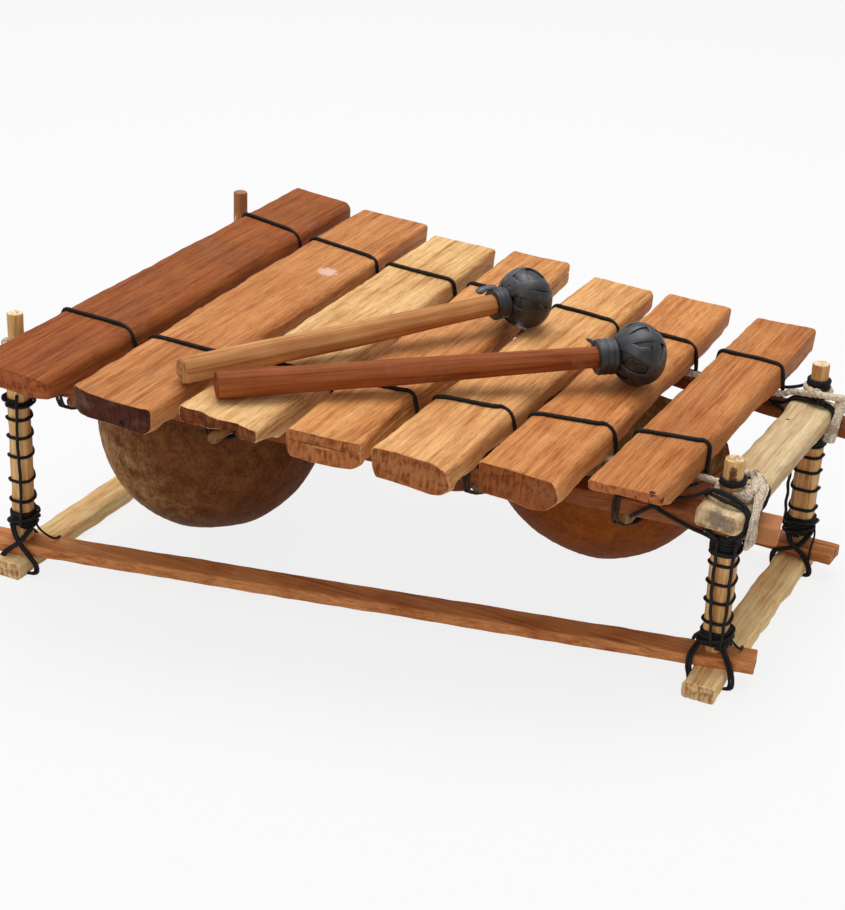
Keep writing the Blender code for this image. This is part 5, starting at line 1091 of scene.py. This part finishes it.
# a hewn round rod: swayed facets about its line, both ends eased
def makeHanger(number, x, radius, overhang):
    seed = 1000 + 30 * number
    heading = math.atan2(deckPost("front_right")[1] - deckPost("front_left")[1],
                         deckPost("front_right")[0] - deckPost("front_left")[0])
    backHeading = math.atan2(deckPost("back_right")[1] - deckPost("back_left")[1],
                             deckPost("back_right")[0] - deckPost("back_left")[0])
    y0 = railLine("front", x) - 0.01015 / math.cos(heading) - overhang
    y1 = railLine("back", x) + 0.01015 / math.cos(backHeading) + 0.0050
    z0, z1 = (-railDepth[end] - fitGap - radius for end in ("front", "back"))
    share = np.linspace(0, 1, 150)
    y, z = y0 + (y1 - y0) * share, z0 + (z1 - z0) * share
    angle = np.arange(20) / 20 * 2 * math.pi
    distances = radius * (0.985 - 0.05 * (1 + np.stack([sway(y, 0.08, seed + k) for k in range(6)], 1)) / 2)
    r = faceted(angle, np.arange(6) * math.pi / 3, distances, 12.0)
    r = np.minimum(r, radius * 0.995)
    ends = np.minimum(y - y0, y1 - y) / 0.0008
    r = r * (0.86 + 0.14 * np.sqrt(np.clip(ends, 0, 1)))[:, None]
    grid = np.stack([x + r * np.cos(angle), np.broadcast_to(y[:, None], r.shape), z[:, None] + r * np.sin(angle)], -1)
    grid, mark = withEnds(grid, (0, 1, 0), 0.0, 4)
    shape = Shape()
    shape.skin(fromDeck(grid), mark)
    shape.make(f"hangerStick{number}", hangerTones, "frame", "stick_wood", f"hanger_stick_{number}")


# a tie: its cord twice slanted round the rail and the stick under it, side by side
def hangerTie(shape, x, end, radius, seed):
    heading = deckPost(end + "_right") - deckPost(end + "_left")
    heading = heading / np.linalg.norm(heading)
    centre = np.array([x, railLine(end, x), 0.0])
    out = np.array([0.0, (0.01015 + 0.0014) / heading[0], 0.0])
    along = heading * (radius + 0.0015)
    low, high = -railDepth[end] - 2 * fitGap - 2 * radius - 0.0013, 0.0014
    for k, shift in enumerate((-0.0013, 0.0013)):
        aside = heading * shift
        a, b = centre - out - along + aside, centre + out + along + aside
        up, down = np.array([0, 0, high]), np.array([0, 0, low])
        ease, run = np.array([0, 0, 0.0014]), unit(out + along) * 0.0014
        foot = np.array([0, 0, -railDepth[end] - 0.0006])
        tuck = unit(out) * 0.0062
        route = [centre + aside + up + run, b + up - run, b + up - ease, b + foot + ease, b - tuck + down,
                 a + tuck + down, a + foot + ease, a + up - ease, a + up + run, centre + aside + up - run]
        cordShape(shape, route, seed + k, 0.0022, 1)


tieCord = cordFinish("tieCord", (0.012, 0.0055, 0.0035), (0.060, 0.026, 0.014), 0.8, 1100.0)
for k, (x, radius, overhang) in enumerate(hangers):
    makeHanger(k + 1, x, radius, overhang)
    for end in ("front", "back"):
        shape = Shape()
        hangerTie(shape, x, end, radius, 1200 + 10 * k)
        shape.make(f"hangerTie{k + 1}{end.title()}", tieCord, "frame", "lashing_cord", f"hanger_tie_{k + 1}_{end}")
print("key cords and hangers")


# bar lashings: the cord ties a crossbar to its rail and post. Routes on the deck, in metres: along, across, up
barCords = {
    "front_right": (
        ((0.1673, -0.0594, -0.0106), (0.1700, -0.0590, -0.0086), (0.1805, -0.0568, 0.0004), (0.1870, -0.0535, 0.0040),
         (0.2020, -0.0500, 0.0106), (0.2068, -0.0465, 0.0135), (0.2143, -0.0485, 0.0185), (0.2218, -0.0500, 0.0180),
         (0.2301, -0.0492, 0.0150), (0.2362, -0.0500, 0.0088), (0.2364, -0.0530, 0.0020), (0.2330, -0.0500, -0.0050),
         (0.2280, -0.0462, -0.0110)),
        ((0.1935, -0.0150, 0.0011), (0.1888, -0.0261, 0.0013), (0.1874, -0.0350, 0.0014), (0.1815, -0.0500, 0.0014),
         (0.1802, -0.0562, 0.0006), (0.1810, -0.0566, -0.0012), (0.1924, -0.0541, -0.0058), (0.2045, -0.0517, -0.0100),
         (0.2110, -0.0504, -0.0112), (0.2163, -0.0480, -0.0140)),
        ((0.2048, -0.0290, 0.0040), (0.2058, -0.0400, 0.0108), (0.2094, -0.0455, 0.0155), (0.2150, -0.0490, 0.0168),
         (0.2230, -0.0502, 0.0162), (0.2300, -0.0490, 0.0140), (0.2352, -0.0475, 0.0105), (0.2369, -0.0490, 0.0030),
         (0.2350, -0.0500, -0.0060), (0.2300, -0.0470, -0.0120)),
        ((0.2046, -0.0300, 0.0020), (0.2052, -0.0400, 0.0096), (0.2090, -0.0470, 0.0140), (0.2150, -0.0500, 0.0142),
         (0.2220, -0.0512, 0.0138), (0.2290, -0.0510, 0.0124), (0.2345, -0.0500, 0.0104), (0.2366, -0.0520, 0.0060),
         (0.2360, -0.0500, 0.0000), (0.2364, -0.0412, 0.0030), (0.2366, -0.0234, -0.0004)),
        ((0.2060, -0.0485, -0.0060), (0.2110, -0.0500, -0.0080), (0.2150, -0.0498, -0.0110), (0.2190, -0.0470, -0.0140)),
        ((0.2050, -0.0470, -0.0030), (0.2090, -0.0498, -0.0060), (0.2136, -0.0502, -0.0090), (0.2200, -0.0480, -0.0140)),
        ((0.2350, -0.0470, -0.0010), (0.2330, -0.0480, -0.0056), (0.2290, -0.0470, -0.0100), (0.2240, -0.0450, -0.0140)),
        ((0.2150, -0.0250, 0.0150), (0.2233, -0.0130, 0.0146), (0.2280, -0.0096, 0.0118), (0.2345, -0.0110, 0.0112),
         (0.2364, -0.0120, 0.0090), (0.2366, -0.0136, 0.0050), (0.2364, -0.0190, -0.0010), (0.2300, -0.0250, -0.0030)),
        ((0.1788, -0.0560, 0.0016), (0.1820, -0.0540, 0.0022), (0.1830, -0.0565, 0.0006), (0.1806, -0.0572, -0.0014),
         (0.1782, -0.0566, 0.0002), (0.1800, -0.0545, 0.0020)),
    ),
    "back_right": (
        ((0.2085, 0.1180, 0.0013), (0.2082, 0.1195, 0.0095), (0.2105, 0.1200, 0.0118), (0.2200, 0.1215, 0.0122),
         (0.2290, 0.1210, 0.0120), (0.2360, 0.1195, 0.0114), (0.2386, 0.1190, 0.0088), (0.2388, 0.1160, 0.0020),
         (0.2370, 0.1180, -0.0060), (0.2320, 0.1200, -0.0120)),
        ((0.1950, 0.1300, 0.0014), (0.2030, 0.1270, 0.0030), (0.2080, 0.1250, 0.0098), (0.2120, 0.1240, 0.0120),
         (0.2210, 0.1245, 0.0124), (0.2300, 0.1245, 0.0122), (0.2364, 0.1225, 0.0112), (0.2390, 0.1205, 0.0080),
         (0.2392, 0.1175, 0.0000), (0.2350, 0.1185, -0.0080), (0.2290, 0.1200, -0.0110)),
        ((0.1880, 0.1330, 0.0014), (0.1960, 0.1270, 0.0016), (0.2050, 0.1222, 0.0012), (0.2065, 0.1212, -0.0040),
         (0.2100, 0.1215, -0.0092)),
        ((0.1930, 0.1262, 0.0125), (0.2060, 0.1318, 0.0135), (0.2140, 0.1370, 0.0165)),
        ((0.2258, 0.1262, 0.0205), (0.2280, 0.1205, 0.0186), (0.2296, 0.1178, 0.0150), (0.2310, 0.1185, 0.0122)),
        ((0.2240, 0.1256, 0.0200), (0.2258, 0.1200, 0.0182), (0.2272, 0.1176, 0.0150), (0.2284, 0.1185, 0.0122)),
    ),
}


# the closed lashing of a left corner: over the bar, down both sides past the rail, under it beside the post
def barLoop(corner, shift):
    end, x0 = corner.split("_")[0], deckPost(corner)[0]
    half, low = 0.01015 + 0.0013, -railDepth[end] - 0.0014
    barX, barHalf = x0 + 0.0162, 0.0110 + 0.0013
    left, top = x0 + posts[corner]["width"] / 2 + 0.0018, deck["barTop"] + 0.0012
    right = barX + barHalf

    def at(x, across, level):
        return (x + shift, railLine(end, x) + across, level)

    return [at(left + 0.006, half, low / 2), at(left, half, low / 2), at(left, half, low), at(left, -half, low),
            at(barX - barHalf, -half - 0.001, -0.004), at(barX - barHalf, -half - 0.001, top),
            at(right, -half - 0.001, top), at(right, -half - 0.001, -0.004), at(right, -half, low), at(right, half, low),
            at(right, half, low / 2), at(left + 0.010, half, low / 2)]


for k, corner in enumerate(lashings):
    shape = Shape()
    for j, route in enumerate(barCords.get(corner) or (barLoop(corner, 0.0), barLoop(corner, 0.0023))):
        cordShape(shape, route, 1400 + 20 * k + j, 0.0024, 2)
    shape.make("barLashing" + corner.title().replace("_", ""), blackCord, "frame", "lashing_cord", "bar_lashing_" + corner)


# peg bands: turns of cord pulled tight on the peg, each a little aslant
def pegBand(corner, levels, lean, seed):
    shape = Shape()
    x0, y0 = posts[corner]["at"]
    t = np.linspace(0, len(levels) - 1.02, 40 * (len(levels) - 1))
    angle = math.radians(150) - 2 * math.pi * t
    level = np.interp(t, np.arange(len(levels)), levels) + lean * np.cos(angle)
    radius = posts[corner]["peg"] + 0.0010 + 0.0003 * sway(t * 0.01, 0.004, seed)
    z = heightOf(x0, level)
    route = np.stack([x0 + radius * np.cos(angle), y0 + radius * np.sin(angle), z], -1)
    twistedCord(shape, route, 0.0028, lay=0.0056, groove=0.16, sides=10, step=0.0008, seed=seed, rounds=0)
    shape.make("pegBand" + corner.title().replace("_", ""), blackCord, "frame", "lashing_cord", "peg_band_" + corner)


pegBand("front_right", (0.0196, 0.0206, 0.0226, 0.0214), 0.0004, 1501)
pegBand("back_right", (0.0188, 0.0206, 0.0226, 0.0240, 0.0216), 0.0003, 1521)


def ropeFinish():
    f = Finish("cottonRope", 0.85)
    f.shader.inputs["Specular IOR Level"].default_value = 0.2
    fluff = f.noise(f.place, 900.0, 4.0, 0.6)
    soil = f.noise(f.place, 120.0, 4.0, 0.6)
    colour = f.mix(f.band(fluff, 0.35, 0.7), (0.50, 0.39, 0.28), (0.86, 0.76, 0.62))
    colour = f.mix(f.band(soil, 0.46, 0.68) * 0.8, colour, (0.27, 0.185, 0.115))
    return f.set(colour=colour, normal=f.bump(fluff, 0.6, 0.0006))


cottonRope = ropeFinish()


# a bundle of loose fibres along a path: each keeps its share of the width and of the depth, and wanders
def frayed(shape, route, widths, depth, count, seed, size=0.0007, across=None):
    rng = np.random.default_rng(seed)
    path, along = evenPath(smoothPath(route, 3), 0.0010)
    run = unit(np.gradient(path, axis=0))
    across = unit(np.asarray(across if across is not None else (0.5, 1.0, 0.0), float))
    side = unit(across - (run @ across)[:, None] * run)
    up = np.cross(run, side)
    width = np.interp(np.linspace(0, 1, len(path)), np.linspace(0, 1, len(widths)), widths)
    for k in range(count):
        a, d = rng.uniform(-0.5, 0.5), rng.uniform(-0.5, 0.5)
        start, stop = rng.uniform(0, 0.06), rng.uniform(0.90, 1.0)
        keep = slice(int(start * len(path)), max(int(stop * len(path)), 4))
        w = width * a + 0.0003 * sway(along, 0.006, seed + 3 * k)
        h = depth * d * (1 - (2 * a) ** 2) ** 0.5 + 0.0003 * sway(along, 0.008, seed + 3 * k + 1)
        fibre = path + side * w[:, None] + up * h[:, None]
        twistedCord(shape, fibre[keep], size * rng.uniform(0.7, 1.5), lay=0.003, groove=0.1, sides=6, step=0.0011,
                    seed=seed + k, rounds=0)


def ropeAlong(shape, route, seed, rounds=2, size=ropeSize):
    twistedCord(shape, fromDeck(route), size, lay=0.0125, groove=0.24, sides=18, step=0.0009, seed=seed, rounds=rounds)


# turns of rope on a peg, its axis upright in the room: angle, turns, levels on the deck
def pegTurns(corner, start, sweep, low, high, count, loose=0.0):
    share = np.linspace(0, 1, count)
    angle, level = start + sweep * share, low + (high - low) * share
    radius = posts[corner]["peg"] + ropeSize / 2 + 0.0001 + loose
    base = deckPost(corner)
    return np.stack([base[0] - level * math.tan(deck["tilt"]) + radius * np.cos(angle), base[1] + radius * np.sin(angle), level], -1)


def underKeys(end, start, stop):
    x = np.linspace(start, stop, 60)
    return np.stack([x, ropeLine(end, x), np.full(60, deck["ropeLevel"])], -1)


level = deck["ropeLevel"]
frontRope = Shape()
wound = pegTurns("front_left", math.pi / 2 + 2 * math.pi * 1.1, -2 * math.pi * 1.1, level + 0.0056, level, 40)
route = np.concatenate([wound, underKeys("front", wound[-1][0] + 0.0046, 0.2010),
                        pegTurns("front_right", math.pi / 2, -2 * math.pi * 1.45, level, level + 0.0032, 50)])
ropeAlong(frontRope, route, 1601, 1)
frontKnot = (
    ((0.2150, -0.0330, 0.0148), (0.2215, -0.0352, 0.0150), (0.2270, -0.0385, 0.0158), (0.2320, -0.0372, 0.0170),
     (0.2335, -0.0320, 0.0165), (0.2300, -0.0285, 0.0150), (0.2262, -0.0310, 0.0146)),
    ((0.2190, -0.0180, 0.0170), (0.2245, -0.0160, 0.0188), (0.2310, -0.0205, 0.0180), (0.2350, -0.0270, 0.0168),
     (0.2370, -0.0330, 0.0140), (0.2385, -0.0395, 0.0110), (0.2390, -0.0430, 0.0078)),
)
for k, path in enumerate(frontKnot):
    ropeAlong(frontRope, path, 1610 + k, 2, 0.0044)
clump = ((0.2195, -0.0345, 0.0120), (0.2240, -0.0380, 0.0145), (0.2290, -0.0400, 0.0150), (0.2340, -0.0400, 0.0130))
frayed(frontRope, fromDeck(clump), (0.006, 0.010, 0.010, 0.004), 0.0060, 70, 1620, 0.0008)
strip = ((0.2232, -0.0141, 0.0185), (0.2280, -0.0165, 0.0192), (0.2335, -0.0265, 0.0175), (0.2365, -0.0350, 0.0145),
         (0.2385, -0.0440, 0.0110), (0.2396, -0.0495, 0.0068), (0.2400, -0.0510, 0.0010), (0.2398, -0.0500, -0.0060),
         (0.2394, -0.0470, -0.0125))
widths = (0.003, 0.006, 0.0100, 0.0085, 0.0036, 0.0032, 0.0060, 0.0095, 0.0110)
softBand(frontRope, fromDeck(strip), widths, 0.0030, (0.3, 1.0, 0.25), 1630)
frayed(frontRope, fromDeck(strip), tuple(w * 1.12 for w in widths), 0.0036, 60, 1640, 0.0006, (0.3, 1.0, 0.25))
frontRope.make("supportRopeFront", cottonRope, "frame", "rope", "support_rope_front")

backRope = Shape()
barMiddle, barSide = -0.2091, 0.0110 + ropeSize / 2 + 0.0004
hitch = ((barMiddle + barSide, 0.1335, 0.0060), (barMiddle + barSide, 0.1333, 0.0120), (barMiddle + barSide - 0.002, 0.1330, 0.0128),
         (barMiddle - barSide + 0.002, 0.1320, 0.0128), (barMiddle - barSide, 0.1316, 0.0110), (barMiddle - barSide, 0.1308, -0.0010),
         (barMiddle - barSide + 0.002, 0.1304, -0.0022), (barMiddle + barSide - 0.002, 0.1290, -0.0022),
         (barMiddle + barSide, 0.1286, 0.0000), (barMiddle + barSide, 0.1283, 0.0090), (barMiddle + barSide + 0.0015, 0.1282, level))
lifted = level + 0.0029
route = np.concatenate([hitch, underKeys("back", -0.1900, 0.2040), ((0.2080, 0.1210, lifted),),
                        pegTurns("back_right", -math.pi / 2, 2 * math.pi * 1.1, lifted, lifted + 0.0030, 44)])
ropeAlong(backRope, route, 1651, 1)
backKnot = ((0.2180, 0.1215, 0.0180), (0.2260, 0.1195, 0.0190), (0.2350, 0.1210, 0.0190), (0.2405, 0.1270, 0.0175),
            (0.2420, 0.1330, 0.0150), (0.2390, 0.1360, 0.0120), (0.2370, 0.1310, 0.0110), (0.2400, 0.1250, 0.0100))
ropeAlong(backRope, backKnot, 1660, 2, 0.0050)
tail = ((0.2390, 0.1290, 0.0170), (0.2415, 0.1235, 0.0140), (0.2412, 0.1190, 0.0090), (0.2406, 0.1172, 0.0030),
        (0.2398, 0.1155, -0.0040), (0.2390, 0.1150, -0.0105))
widths = (0.0070, 0.0075, 0.0050, 0.0060, 0.0075, 0.0080)
softBand(backRope, fromDeck(tail), widths, 0.0040, (1.0, 0.5, 0.1), 1670)
frayed(backRope, fromDeck(tail), tuple(w * 1.08 for w in widths), 0.0046, 44, 1680, 0.0006, (1.0, 0.5, 0.1))
backRope.make("supportRopeBack", cottonRope, "frame", "rope", "support_rope_back")
print("ropes")


# floor and light: the floor shows white to the eye and to gloss, and keeps a soft share of the shadow
stage = {"size": 14.0, "white": 0.965, "shadowShare": 0.14, "top": 41.0, "fill": 8.0, "world": 0.50}


def floorFinish():
    f = Finish("paleFloor", 0.9)
    f.shader.inputs["Base Color"].default_value = (0.86, 0.86, 0.86, 1.0)
    rays = [f.node("ShaderNodeLightPath", None, (), name) for name in ("Is Camera Ray", "Is Glossy Ray", "Is Transmission Ray")]
    glow = f.node("ShaderNodeEmission", None, ((stage["white"],) * 3 + (1.0,), 1.0))
    lit = Sock(f, f.shader.outputs[0])
    seen = f.node("ShaderNodeMixShader", None, ((rays[0] + rays[1] + rays[2]) * (1 - stage["shadowShare"]), lit, glow))
    f.tree.links.new(seen.link, f.tree.nodes["Material Output"].inputs["Surface"])
    return f.material


half = stage["size"] / 2
mesh = bpy.data.meshes.new("floor")
mesh.from_pydata([(-half, -half, 0.0), (half, -half, 0.0), (half, half, 0.0), (-half, half, 0.0)], [], [(0, 1, 2, 3)])
mesh.materials.append(floorFinish())
floor = bpy.data.objects.new("floor", mesh)
bpy.context.scene.collection.objects.link(floor)


def areaLight(name, place, size, power):
    data = bpy.data.lights.new(name, "AREA")
    data.shape, data.size, data.energy = "SQUARE", size, power
    lamp = bpy.data.objects.new(name, data)
    bpy.context.scene.collection.objects.link(lamp)
    lamp.location = place
    lamp.rotation_euler = (Vector((0.0, 0.0, 0.1)) - Vector(place)).to_track_quat("-Z", "Y").to_euler()


areaLight("topLight", (-0.15, 0.45, 2.3), 1.7, stage["top"])
areaLight("fillLight", (-0.3, -2.2, 1.2), 1.6, stage["fill"])
world = bpy.data.worlds.new("studio")
world.use_nodes = True
world.node_tree.nodes["Background"].inputs["Color"].default_value = (1.0, 1.0, 1.0, 1.0)
world.node_tree.nodes["Background"].inputs["Strength"].default_value = stage["world"]
bpy.context.scene.world = world
bpy.context.scene.view_settings.view_transform = "Standard"

# the photograph's camera, from a fit to the frame's corners
view = {"place": (0.5280, -1.1335, 0.6737), "azimuth": 24.899, "pitch": 25.284, "roll": 2.552, "focal": 2122.5, "width": 845}
psi, th, ro = (math.radians(view[k]) for k in ("azimuth", "pitch", "roll"))
level = Vector((-math.sin(psi), math.cos(psi), 0.0))
sideways = Vector((math.cos(psi), math.sin(psi), 0.0))
ahead = level * math.cos(th) - Vector((0, 0, 1)) * math.sin(th)
upward = level * math.sin(th) + Vector((0, 0, 1)) * math.cos(th)
right = sideways * math.cos(ro) + upward * math.sin(ro)
up = upward * math.cos(ro) - sideways * math.sin(ro)
cameraData = bpy.data.cameras.new("camera")
cameraData.sensor_fit, cameraData.sensor_width = "HORIZONTAL", 36.0
cameraData.lens = view["focal"] * 36.0 / view["width"]
camera = bpy.data.objects.new("camera", cameraData)
bpy.context.scene.collection.objects.link(camera)
camera.matrix_world = Matrix.Translation(view["place"]) @ Matrix((right, up, -ahead)).transposed().to_4x4()
bpy.context.scene.camera = camera
